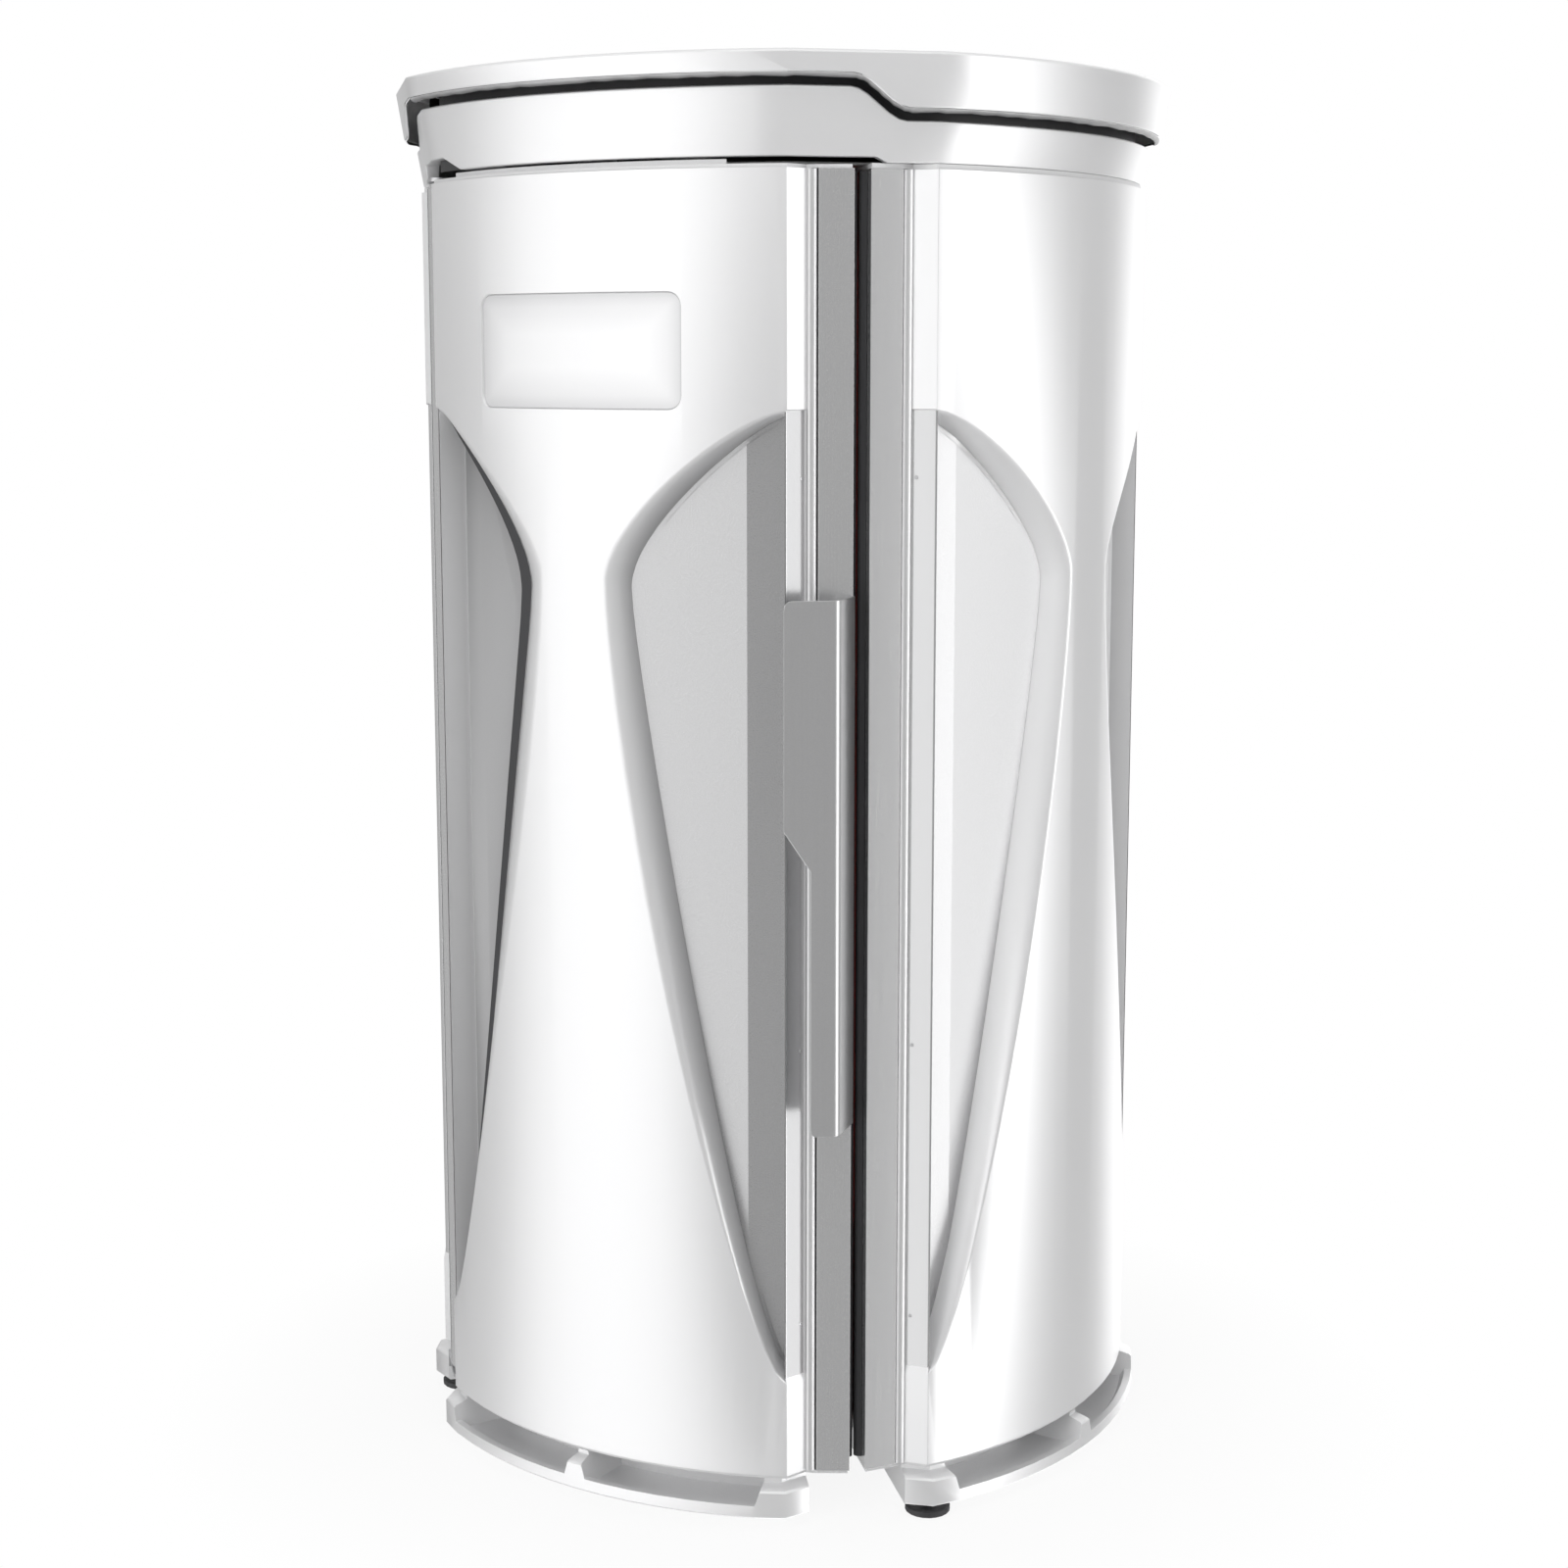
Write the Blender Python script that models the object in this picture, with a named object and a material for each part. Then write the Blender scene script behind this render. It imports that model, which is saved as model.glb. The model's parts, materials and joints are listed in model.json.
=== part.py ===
"""Red light therapy booth: a round standing cabin of four curved quarter modules.

Three modules stand on moulded bases and carry the roof. The fourth, at the front left, is the door:
it swings on two pivot pins at the left side. Metres, +Z up, the door seam faces -Y, and the origin
lies on the floor under the middle of the cabin.
"""

import math

import bmesh
import bpy
import numpy as np
from mathutils import Matrix, Vector
from mathutils.geometry import delaunay_2d_cdt

# Fits
FIT = 0.0003            # gap between two pieces that touch
RUN = 0.0010            # gap between moving faces
DOOR_GAP = 0.0104       # door top to the crown above it

# Plan of the body: four arcs with four flats between them
FLAT = 0.591            # middle of the cabin to a flat
FLAT_HALF = 0.1135      # middle of a flat to the crease where the arc begins
PANEL_R = 0.710         # radius of a curved panel
FACET_P = 0.0797        # inner end of the chamfered facet beside a flat: along the flat
FACET_IN = 0.0194       # and in from it
FACET_Q = FLAT - FACET_IN
BEAD = 0.0082           # width of the round bead on a panel's edge
BEAD_RISE = 0.0035      # how far the bead stands up
SHELL_WALL = 0.0035     # wall of a moulded panel
LIP = 0.016             # edge of a panel turned inwards behind its bead

# Heights
FOOT_STANDOFF = 0.025   # floor to the underside of the bases
BASE_HEIGHT = 0.0577    # a moulded base, to its deck
PLATE = 0.0055          # end plates of a module
PANEL_HEIGHT = 1.998    # panels and stiles
ROOF_PLATE = 0.0076     # ring plate on top of the fixed modules
CROWN_HEIGHT = 0.1550   # crown, fascia and cap together

# Hourglass relief of a panel, across it as distance along the arc from its middle
TOP_BLOCK = 0.3473      # raised block above the recesses
BOTTOM_BLOCK = 0.1492   # raised block below them
WAIST = 0.0556          # half width of the raised figure at its waist
WAIST_SHARE = 0.831     # height of the waist, as a share of the recess
STEP_RISE = 0.0105      # height of the sloped step at both ends of a recess
FOOT_WAIST = 0.0862     # foot of the wall at the waist
FOOT_WAIST_SHARE = 0.825
# Each half of an edge is one curve: how far it runs straight from the waist, where it swings
# out to the side, and how steeply it comes in there, as shares of its height and width
EDGE_ABOVE = (0.293, 0.723, 0.018)
EDGE_BELOW = (0.233, 0.781, 0.010)
FOOT_ABOVE = (0.373, 0.844, 0.010)
FOOT_BELOW = (0.092, 0.755, 0.010)
FLOOR_BEND = 0.2569     # sideways place of the vertical bend in the recess floor
FLOOR_BEND_IN = 0.1000  # its distance in from the top of the arc
FLOOR_RISE = 0.300      # slope of the floor from the bend towards the waist
SIDE_DEPTH = 0.050      # depth of the recess at the crease
STRIP_DEPTH = 0.004     # depth of the side strip beside the bead
STRIP_EDGE = 0.002      # edge of that strip, past the crease
INSERT_SHEET = 0.0020   # grey sheet laid in a recess
INSERT_GAP = 0.0050     # open edge round the sheet

# Shallow plate recess on the door, left bare
PLATE_HALF = 0.193      # half width along the arc
PLATE_DROP = 0.1753     # top of the panel to the recess
PLATE_TALL = 0.1739
PLATE_CORNER = 0.022
PLATE_DEPTH = 0.0040
PLATE_SLOPE = 0.0040

# Aluminium stiles, one on each side of a seam: along the flat and out from the middle
STILE_NEAR = 0.0125     # edge at the seam
STILE_FAR = 0.0635
STILE_NEAR_IN = 0.0015  # slanted face, in from the flat: at the seam and at its far edge
STILE_FAR_IN = 0.0120
STILE_BACK_IN = 0.0460
STILE_NEAR_Q = FLAT - STILE_NEAR_IN
STILE_FAR_Q = FLAT - STILE_FAR_IN
STILE_BACK_Q = FLAT - STILE_BACK_IN
STILE_WALL = 0.0025
POST_GROOVE = 0.006     # groove between the two halves of a joint post
FLANGE = 0.0670         # depth of the stile's flange, which holds the lamp board

# End plates of a module
PLATE_PAST = 0.002      # edge at the seam, past the stile's
PLATE_NEAR = STILE_NEAR + PLATE_PAST
PLATE_INSET = 0.0045    # in from the panel's face
DOOR_PLATE_LAP = 0.005  # reach inwards past the shield, on the door
FIXED_PLATE_LAP = 0.045 # and on a fixed module, where the floor rests on it

# Lamp board and clear shield on the inside of a module
LAMP_INSET = 0.122      # panel face to the front of the lamp board
LAMP_ROOM = 0.013       # lamp board to the inner face of the shield
LAMP_EDGE = 0.0225      # upright edges of both, along the flat from the seam
BOARD_SHEET = 0.0030
SHIELD_SHEET = 0.0040
SPACER = 0.020          # upright ribs that carry the shield, at both edges of the board

# Moulded bases
BASE_OUT = 0.021        # how far a base stands out from the panel above it
BASE_END_P = 0.0776     # end wall, along the flat from the seam
BASE_WIDTH = 0.145      # panel face to the inner wall of a base
BASE_SHOULDER = 0.0455  # height of the outer wall
BASE_NECK_IN = 0.004    # neck under the panel, inside the panel's face
BASE_NECK_RISE = 0.006  # height of the slope from the shoulder to the neck
BASE_EDGE = 0.003       # rounded edge
BASE_END_IN = 0.003     # outer corner of an end wall, in from the facet
BASE_CREASE_PAST = 0.006   # crease of a base, past the panel's along the flat
BASE_CREASE_IN = 0.004  # and in from it
LIP_HEIGHT = 0.021      # front lip of an air slot
LIP_WALL = 0.012
SLOT_FLOOR = 0.010      # floor of the scoop behind the lip
SLOT_RAMP = 0.008       # slope behind the lip
SLOT_BACK = 0.066       # wall left behind the scoop
SLOT_INNER = math.radians(1.6)    # slot ends, from the middle of the panel
SLOT_OUTER = math.radians(24.6)
SLOT_FLARE = math.radians(0.9)    # how far the ends lean

# Crown
CAP_OUT = 0.0393        # top edge of the cap, out from the body
CAP_LEAN = 0.16         # how fast the cap widens upwards
CAP_DEEP = 0.0800       # cap wall over the fixed modules
CAP_SHALLOW = 0.0330    # cap wall over the door
CAP_WALL = 0.0050
CAP_EDGE = 0.0040
GROOVE = 0.0150         # air gap between cap and fascia
FASCIA_OUT = -0.0040    # foot of the fascia, out from the body
FASCIA_LEAN = 0.175
FASCIA_EDGE = 0.0030     # rounded upper edge
UPSTAND_IN = 0.0180     # upstand inside the groove, in from the body
UPSTAND_WALL = 0.0050
UPSTAND_RISE = 0.0040
POST_AT = 0.57          # posts that carry the cap, as a share of the half arc
POST_SPAN = 0.03
POST_BACK = 0.0300       # they lie further in than the upstand
WAVE_START = -0.022     # the groove steps down across a flat, from here on the door side
WAVE_END = 0.064
DOOR_EDGE = 0.022       # end of the raised edge over the door, past the seam
NOTCH = 0.0200          # the fascia is cut higher round the upper pivot
NOTCH_FROM = -0.165     # along the left side, from the seam
NOTCH_TO = 0.020

# Ceiling, fan and power supply
CEILING_IN = 0.060      # ceiling panel, in from the body
CEILING_SHEET = 0.0040
VENT_R = 0.140          # round vent in the ceiling, with straight slots
VENT_SLOTS = 9
VENT_BAR = 0.012
FAN_R = 0.142
FAN_HUB_R = 0.045
FAN_BLADES = 7
BLADE_ROOT = 0.007      # how far a blade reaches into the hub
BLADE_PITCH = math.radians(34.0)
BLADE_CHORD = 0.034
BLADE_THICK = 0.0030
BLADE_SWEEP = 0.014
SHROUD_R = 0.156
SHROUD_WALL = 0.006
SHROUD_HEIGHT = 0.060
SHROUD_FLANGE = 0.018    # foot flange, out from the bore
SHROUD_FOOT = 0.004      # its thickness
MOTOR_IN = 0.003         # motor, in from the hub's face
STRUT = (0.012, 0.008)   # width and height of a strut
STRUT_Z = 0.006          # foot to the middle of a strut
STRUT_ROOT = 0.008       # how far a strut reaches under the hub
FAN_Z = 0.018           # shroud foot to the fan
FAN_HEIGHT = 0.030
HUB_EDGE = 0.004
SUPPLY = (0.110, 0.210, 0.048)
SUPPLY_AT = (0.285, 0.110)

# Floor
FLOOR_IN = 0.163        # in from the flats, where it rests on the end plates of the fixed modules
FLOOR_R = FLAT - FLOOR_IN
FLOOR_THICK = 0.020
FLOOR_EDGE = 0.003
MAT_IN = 0.020
MAT_R = FLOOR_R - MAT_IN
MAT_THICK = 0.004

# Feet
FOOT_R = 0.036
FOOT_PAD = 0.012
FOOT_STEM_R = 0.011
FOOT_EDGE = 0.002
FOOT_P = 0.122          # foot under a base: along the flat, and in from it
FOOT_IN = 0.031
FOOT_Q = FLAT - FOOT_IN
CENTRE_FOOT_R = 0.045
FOOT_SIDES = 20

# Door pivot: along the left flat from the seam, and in from it
PIVOT_P = 0.035
PIVOT_IN = 0.021
PIVOT_Q = FLAT - PIVOT_IN
PIN_R = 0.006
PIN_REACH = 0.022
ARM_HALF = 0.019
ARM_THICK = 0.006
ARM_PAD = 0.030          # height of the lower arm's pad on the base
ARM_GAP = 0.003         # upper arm to the crown and ceiling on both sides of it
UPPER_REACH = 0.070     # how far back the upper arm runs over the roof frame

# Seals in the seams
SEAL_SET = 0.025        # front of a seal, in from the flat
SEAL_DEEP = 0.018
SEAL_OUT = FLAT - SEAL_SET
SEAL_IN = SEAL_OUT - SEAL_DEEP
SEAL_GAP = 0.0020       # between the two seals of the seam
SEAL_STEM = 0.35        # straight part of a seal, as a share of its reach
SEAL_ROUND = 0.42       # half height of its bulb, as a share of its depth
SEAL_FOOT = 0.012       # ends, in from the panel's
SEAL_HEAD = 0.002
HINGE_SEAL_PAST = 0.003

# Door handle: bent sheet
HANDLE_SHEET = 0.0025
HANDLE_PROUD = 0.065    # front of the handle, out from the flat
HANDLE_FRONT = FLAT + HANDLE_PROUD
HANDLE_LEFT = 0.131     # free edge, along the flat from the seam
HANDLE_NARROW = 0.0905  # free edge of the lower part
HANDLE_BEND = 0.047     # where the sheet bends back
HANDLE_BEND_R = 0.014
HANDLE_TOP = 1.464
HANDLE_WIDE_END = 1.122
HANDLE_NARROW_START = 1.061
HANDLE_BOTTOM = 0.653
HANDLE_CORNER = 0.012
HANDLE_ROOT = 0.021     # inner end of the flange on the stile, in from the flat
HANDLE_SEAT = FLAT - HANDLE_ROOT
HANDLE_LIFT = 0.001     # where the sheet leaves the stile, out from its edge

# Control panel on the right post, and its buttons
PANEL_Z = 1.250
PANEL_SIZE = (0.024, 0.092, 0.170)
PANEL_EDGE = 0.004
PANEL_STAND = 0.012     # stem from the post's flange to the housing
STEM_SIZE = (0.022, 0.080)
STEM_ROOT = 0.004       # how far the stem reaches into the housing
BUTTON_R = 0.011
BUTTON_PROUD = 0.005
BUTTON_BODY = 0.014
BUTTON_TRAVEL = 0.0025
BUTTON_PITCH = 0.040
BUTTON_DROP = 0.045
BUTTON_EDGE = 0.0012
SCREEN_RECESS = 0.0015
SCREEN_MARGIN = 0.012
SCREEN_TALL = 0.070
SCREEN_UP = 0.032

# Power inlet in the gap of the rear bases
INLET_IN = 0.031
INLET_Q = FLAT - INLET_IN
INLET_SHEET = 0.003
INLET_BODY = (0.048, 0.026, 0.028)
INLET_WELL = (0.028, 0.020, 0.018)
INLET_BACK = 0.004      # body, in from the plate
INLET_MARGIN = 0.002    # plate, short of the bases' levels

# Levels that follow
Z_BASE = FOOT_STANDOFF
Z_DECK = Z_BASE + BASE_HEIGHT
Z_PLATE = Z_DECK + FIT
Z_PANEL = Z_PLATE + PLATE + FIT
Z_PANEL_TOP = Z_PANEL + PANEL_HEIGHT
Z_TOP_PLATE = Z_PANEL_TOP + FIT
Z_DOOR_TOP = Z_TOP_PLATE + PLATE
Z_ROOF = Z_TOP_PLATE + ROOF_PLATE
Z_CROWN = Z_ROOF + FIT
Z_TOP = Z_CROWN + CROWN_HEIGHT
Z_FLOOR = Z_PANEL + FLOOR_THICK
Z_CEILING = Z_CROWN + CEILING_SHEET
RECESS_TOP = Z_PANEL_TOP - TOP_BLOCK
RECESS_BOTTOM = Z_PANEL + BOTTOM_BLOCK
WAIST_Z = RECESS_BOTTOM + WAIST_SHARE * (RECESS_TOP - RECESS_BOTTOM)
FOOT_TOP = RECESS_TOP - STEP_RISE
FOOT_BOTTOM = RECESS_BOTTOM + STEP_RISE
FOOT_WAIST_Z = FOOT_BOTTOM + FOOT_WAIST_SHARE * (FOOT_TOP - FOOT_BOTTOM)
PLATE_HIGH = Z_PANEL_TOP - PLATE_DROP
PLATE_LOW = PLATE_HIGH - PLATE_TALL

# Plan that follows: u runs out along the middle of a quarter, v along its tangent
ROOT2 = math.sqrt(2.0)
CREASE_V = (FLAT - FLAT_HALF) / ROOT2
ARC_U = (FLAT + FLAT_HALF) / ROOT2 - math.sqrt(PANEL_R**2 - CREASE_V**2)
HALF_ANGLE = math.asin(CREASE_V / PANEL_R)
HALF_ARC = HALF_ANGLE * PANEL_R
QUARTER_ANGLES = {name: math.radians(225 + 90 * k)
                  for k, name in enumerate(("door", "front_right", "rear_right", "rear_left"))}
ARC_STEPS = 14
FLOOR_BEND_N = PANEL_R - FLOOR_BEND_IN
BOARD_R = PANEL_R - LAMP_INSET
SHIELD_R = BOARD_R - LAMP_ROOM
BASE_INNER_R = PANEL_R - BASE_WIDTH
DOOR_PLATE_R = SHIELD_R - DOOR_PLATE_LAP
FIXED_PLATE_R = SHIELD_R - FIXED_PLATE_LAP
FLANGE_Q = STILE_BACK_Q - FLANGE
PANEL_BACK_Q = FLANGE_Q - PANEL_STAND

for old in list(bpy.data.objects):
    bpy.data.objects.remove(old, do_unlink=True)


# Materials

def material(name, colour, roughness, metallic=0.0, alpha=1.0):
    made = bpy.data.materials.new(name)
    made.use_nodes = True
    shader = made.node_tree.nodes["Principled BSDF"]
    shader.inputs["Base Color"].default_value = (*colour, 1.0)
    shader.inputs["Roughness"].default_value = roughness
    shader.inputs["Metallic"].default_value = metallic
    shader.inputs["Alpha"].default_value = alpha
    return made


WHITE = material("white_gloss", (0.82, 0.82, 0.83), 0.28)
WHITE_SATIN = material("white_satin", (0.80, 0.80, 0.81), 0.42)
GREY = material("grey_satin", (0.42, 0.42, 0.43), 0.38, 0.4)
ALUMINIUM = material("satin_aluminium", (0.62, 0.62, 0.63), 0.40, 1.0)
BLACK_RUBBER = material("black_rubber", (0.025, 0.025, 0.027), 0.70)
BOARD_WHITE = material("lamp_board", (0.72, 0.70, 0.69), 0.45)
WHITE_BOARD = material("white_board", (0.78, 0.78, 0.78), 0.5)
CLEAR = material("clear_acrylic", (0.93, 0.94, 0.95), 0.08, 0.0, 0.3)
BLACK_PLASTIC = material("black_plastic", (0.03, 0.03, 0.032), 0.45)
STEEL = material("zinc_steel", (0.52, 0.52, 0.53), 0.36, 1.0)
DARK_STEEL = material("grey_steel", (0.20, 0.20, 0.21), 0.50, 0.8)
MAT_RUBBER = material("grey_mat", (0.10, 0.10, 0.105), 0.80)
GREEN = material("green_button", (0.05, 0.35, 0.12), 0.35)
RED = material("red_button", (0.45, 0.03, 0.03), 0.35)


# Mesh building

def finish(bm, name, look, smooth_deg=35.0):
    """Turns a bmesh into a named object with outward faces."""
    bmesh.ops.recalc_face_normals(bm, faces=bm.faces)
    if bm.calc_volume(signed=True) < 0:
        bmesh.ops.reverse_faces(bm, faces=bm.faces)
    return as_object(bm, name, look, smooth_deg)


def as_object(bm, name, look, smooth_deg=35.0):
    mesh = bpy.data.meshes.new(name)
    bm.to_mesh(mesh)
    bm.free()
    mesh.shade_smooth()
    mesh.set_sharp_from_angle(angle=math.radians(smooth_deg))
    mesh.materials.append(look)
    obj = bpy.data.objects.new(name, mesh)
    bpy.context.scene.collection.objects.link(obj)
    return obj


def loft(rings, name, look, closed=False):
    """Bridges rings of equal count; a closed loft joins the last ring to the first."""
    bm = bmesh.new()
    rows = [[bm.verts.new(p) for p in ring] for ring in rings]
    count = len(rows[0])
    pairs = list(zip(rows, rows[1:]))
    if closed:
        pairs.append((rows[-1], rows[0]))
    for low, high in pairs:
        for i in range(count):
            j = (i + 1) % count
            bm.faces.new((low[i], low[j], high[j], high[i]))
    if not closed:
        bm.faces.new(rows[0][::-1])
        bm.faces.new(rows[-1])
    return finish(bm, name, look)


def prism(outline, z0, z1, name, look):
    """Upright prism on a plan outline."""
    return loft([[(x, y, z) for x, y in outline] for z in (z0, z1)], name, look)


def cutter(obj):
    obj.hide_render = True
    obj.display_type = "WIRE"
    return obj


def boolean(obj, other, operation="DIFFERENCE"):
    cut = obj.modifiers.new(operation.lower(), "BOOLEAN")
    cut.operation = operation
    cut.solver = "EXACT"
    cut.object = other


def cylinder(name, look, radius, z0, z1, at=(0.0, 0.0), sides=24, edge=0.0):
    """Upright round bar with an optional chamfer at both ends."""
    levels = [(z0, radius - edge), (z0 + edge, radius), (z1 - edge, radius), (z1, radius - edge)]
    if edge == 0.0:
        levels = [(z0, radius), (z1, radius)]
    turns = [2 * math.pi * i / sides for i in range(sides)]
    rings = [[(at[0] + r * math.cos(t), at[1] + r * math.sin(t), z) for t in turns]
             for z, r in levels]
    return loft(rings, name, look)


def box(name, look, size, centre):
    """Block with its edges along the axes."""
    bm = bmesh.new()
    bmesh.ops.create_cube(bm, size=1.0, matrix=Matrix.Translation(centre) @ Matrix.Diagonal((*size, 1.0)))
    return finish(bm, name, look)


def bezier(points, t):
    a, b, c, d = (np.array(p) for p in points)
    s = 1.0 - t
    return a * s**3 + 3 * b * s * s * t + 3 * c * s * t * t + d * t**3


# Plan coordinates

def on_flat(p, q, end=1):
    """Quarter coordinates of a point beside a seam: p along the flat, q out from the middle."""
    return ((q + p) / ROOT2, end * (q - p) / ROOT2)


def on_arc(angle, radius):
    """Quarter coordinates of a point on an arc about the panel's centre."""
    return (ARC_U + radius * math.cos(angle), radius * math.sin(angle))


def arc_end(radius, p):
    """Angle at which an arc about the panel's centre meets the line p beside a seam."""
    half = ROOT2 * ARC_U / 2
    q = half + math.sqrt(radius**2 - (p - half) ** 2)
    u, v = on_flat(p, q)
    return math.atan2(v, u - ARC_U)


def arc(radius, start, end, steps):
    return [on_arc(start + (end - start) * i / steps, radius) for i in range(steps + 1)]


def to_world(point, angle):
    u, v = point
    return (u * math.cos(angle) - v * math.sin(angle), u * math.sin(angle) + v * math.cos(angle))


def crease_of(offset):
    """Half width of a flat on the body's outline moved out by offset."""
    q = FLAT + offset
    b = ROOT2 * ARC_U
    c = q * q - b * q + ARC_U**2 - (PANEL_R + offset) ** 2
    return (b + math.sqrt(b * b - 4 * c)) / 2


# Placing on bodies

door_pivot = bpy.data.objects.new("door_pivot", None)
bpy.context.scene.collection.objects.link(door_pivot)
door_pivot.location = (-PIVOT_Q, -PIVOT_P, 0.0)


def turn(obj, quarter):
    """Sets a piece built in quarter coordinates into its place."""
    obj.rotation_euler = (0.0, 0.0, QUARTER_ANGLES[quarter])
    if quarter == "door":
        hang_on_door(obj)
    return obj


def hang_on_door(obj):
    obj.parent = door_pivot
    obj.location = -door_pivot.location


# Curved panels with the hourglass relief

def half_edge(waist, waist_z, end_z, shares, t):
    """Point on one half of an edge, from the waist at 0 to the crease at 1."""
    straight, swing, steep = shares
    fall = end_z - waist_z
    return bezier(((waist, waist_z), (waist, waist_z + straight * fall),
                   (waist + swing * (HALF_ARC - waist), end_z - steep * fall), (HALF_ARC, end_z)), t)


def upper_edge(t):
    return half_edge(WAIST, WAIST_Z, RECESS_TOP, EDGE_ABOVE, 1.0 - t)


def lower_edge(t):
    return half_edge(WAIST, WAIST_Z, RECESS_BOTTOM, EDGE_BELOW, t)


def upper_foot(t):
    return half_edge(FOOT_WAIST, FOOT_WAIST_Z, FOOT_TOP, FOOT_ABOVE, 1.0 - t)


def lower_foot(t):
    return half_edge(FOOT_WAIST, FOOT_WAIST_Z, FOOT_BOTTOM, FOOT_BELOW, t)


def floor_radius(angle):
    """Distance of the recess floor from the arc's centre, in a direction from that centre."""
    slope = math.tan(abs(angle))
    side_n = (PANEL_R - SIDE_DEPTH) * math.cos(HALF_ANGLE)
    side_v = (PANEL_R - SIDE_DEPTH) * math.sin(HALF_ANGLE)
    if slope <= FLOOR_BEND / FLOOR_BEND_N:
        fall = -FLOOR_RISE
    else:
        fall = (side_n - FLOOR_BEND_N) / (side_v - FLOOR_BEND)
    n = (FLOOR_BEND_N - fall * FLOOR_BEND) / (1.0 - fall * slope)
    return n / math.cos(angle)


def crossing(curve, value, axis=0):
    """Curve parameter at which its arc distance, or for axis 1 its height, has a value."""
    rising = curve(1.0)[axis] > curve(0.0)[axis]
    low, high = 0.0, 1.0
    for _ in range(50):
        middle = (low + high) / 2
        if (curve(middle)[axis] < value) == rising:
            low = middle
        else:
            high = middle
    return (low + high) / 2


NEAR = 1e-5             # two places on a flat pattern closer than this are one
BEND_ARC = math.atan2(FLOOR_BEND, FLOOR_BEND_N) * PANEL_R
COLUMNS = [0.75 * WAIST] + [WAIST + share * (HALF_ARC - WAIST) for share in (0.15, 0.32, 0.49, 0.66, 0.82)]
WALL_STEPS = ((0.0, 0.0), (0.45, 0.09), (0.82, 0.41), (1.0, 1.0))   # across the wall, and down it
# The halves of a wall, above and below the waist: its edge and its foot, with the ends of both
HALVES = ((upper_edge, upper_foot, RECESS_TOP, FOOT_TOP),
          (lower_edge, lower_foot, RECESS_BOTTOM, FOOT_BOTTOM))


class Sheet:
    """Flat pattern of points and lines, each point with its place in space."""

    def __init__(self):
        self.flat = []
        self.space = []
        self.lines = []

    def point(self, a, z, place):
        self.flat.append(Vector((a, z)))
        self.space.append(place)
        return len(self.flat) - 1

    def line(self, points):
        self.lines += list(zip(points, points[1:]))

    def build(self, name, look, thickness, smooth_deg=35.0, inwards=True):
        made = delaunay_2d_cdt(self.flat, self.lines, [], 1, 1e-6)
        bm = bmesh.new()
        verts = [bm.verts.new(self.space[origin[0]]) for origin in made[3]]
        for face in made[2]:
            bm.faces.new([verts[i] for i in face])
        obj = as_object(bm, name, look, smooth_deg)
        wall = obj.modifiers.new("wall", "SOLIDIFY")
        wall.thickness = thickness
        wall.offset = -1.0 if inwards else 1.0
        return obj


def on_panel(a, z, radius=PANEL_R):
    u, v = on_arc(a / PANEL_R, radius)
    return (u, v, z)


def beside(half, t):
    """A point on a wall's edge, and the one on its foot at the same share of the height."""
    edge_of, foot_of, edge_end, foot_end = HALVES[half]
    edge = edge_of(t)
    share = (edge[1] - WAIST_Z) / (edge_end - WAIST_Z)
    return edge, foot_of(crossing(foot_of, FOOT_WAIST_Z + share * (foot_end - FOOT_WAIST_Z), 1))


def beside_bend(half):
    """Curve value of the edge beside the place where the foot crosses the bend of the floor."""
    edge_of, foot_of, edge_end, foot_end = HALVES[half]
    z = foot_of(crossing(foot_of, BEND_ARC))[1]
    share = (z - FOOT_WAIST_Z) / (foot_end - FOOT_WAIST_Z)
    return crossing(edge_of, WAIST_Z + share * (edge_end - WAIST_Z), 1)


def recess_rows():
    """Curve values down one recess, from its top end to its bottom end."""
    upper = [0.0, 0.87, 0.95, beside_bend(0)]
    upper += [crossing(upper_edge, a) for a in COLUMNS[1:]]
    lower = [0.0, 0.10, 0.20, 1.0, beside_bend(1)]
    lower += [crossing(lower_edge, a) for a in COLUMNS[1:]]
    return [(0, t) for t in sorted(upper)] + [(1, t) for t in sorted(lower)]


def panel_shell(quarter, with_plate):
    """Moulded panel: arc, hourglass with a recess on each side, facets, beads and turned edges."""
    sheet = Sheet()
    tops, bottoms = {}, {}
    rows = recess_rows()
    for side in (-1, 1):
        walls = []
        for half, t in rows:
            edge, foot = beside(half, t)
            row = []
            for across, down in WALL_STEPS:
                a, z = edge + (foot - edge) * across
                angle = a / PANEL_R
                radius = PANEL_R - down * (PANEL_R - floor_radius(angle))
                row.append(sheet.point(side * a, z, on_panel(side * a, z, radius)))
            walls.append(row)
            column = min(COLUMNS, key=lambda c: abs(c - edge[0]))
            if abs(column - edge[0]) < NEAR:
                (tops if half == 0 else bottoms)[side * column] = row[0]
        for k in range(len(WALL_STEPS)):
            sheet.line([row[k] for row in walls])
        sheet.line([row[-1] for row in walls if abs(abs(sheet.flat[row[-1]].x) - BEND_ARC) < NEAR])
        panel_side(sheet, side, walls)
    panel_columns(sheet, tops, bottoms, with_plate)
    name = "door_shell" if quarter == "door" else quarter + "_shell"
    return turn(sheet.build(name, WHITE, SHELL_WALL), quarter)


def side_rows():
    """Heights of the side strip, with how far it lies back: raised blocks and the recess between."""
    return ((Z_PANEL, 0.0), (RECESS_BOTTOM, 0.0), (FOOT_BOTTOM, 1.0),
            (FOOT_TOP, 1.0), (RECESS_TOP, 0.0), (Z_PANEL_TOP, 0.0))


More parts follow.
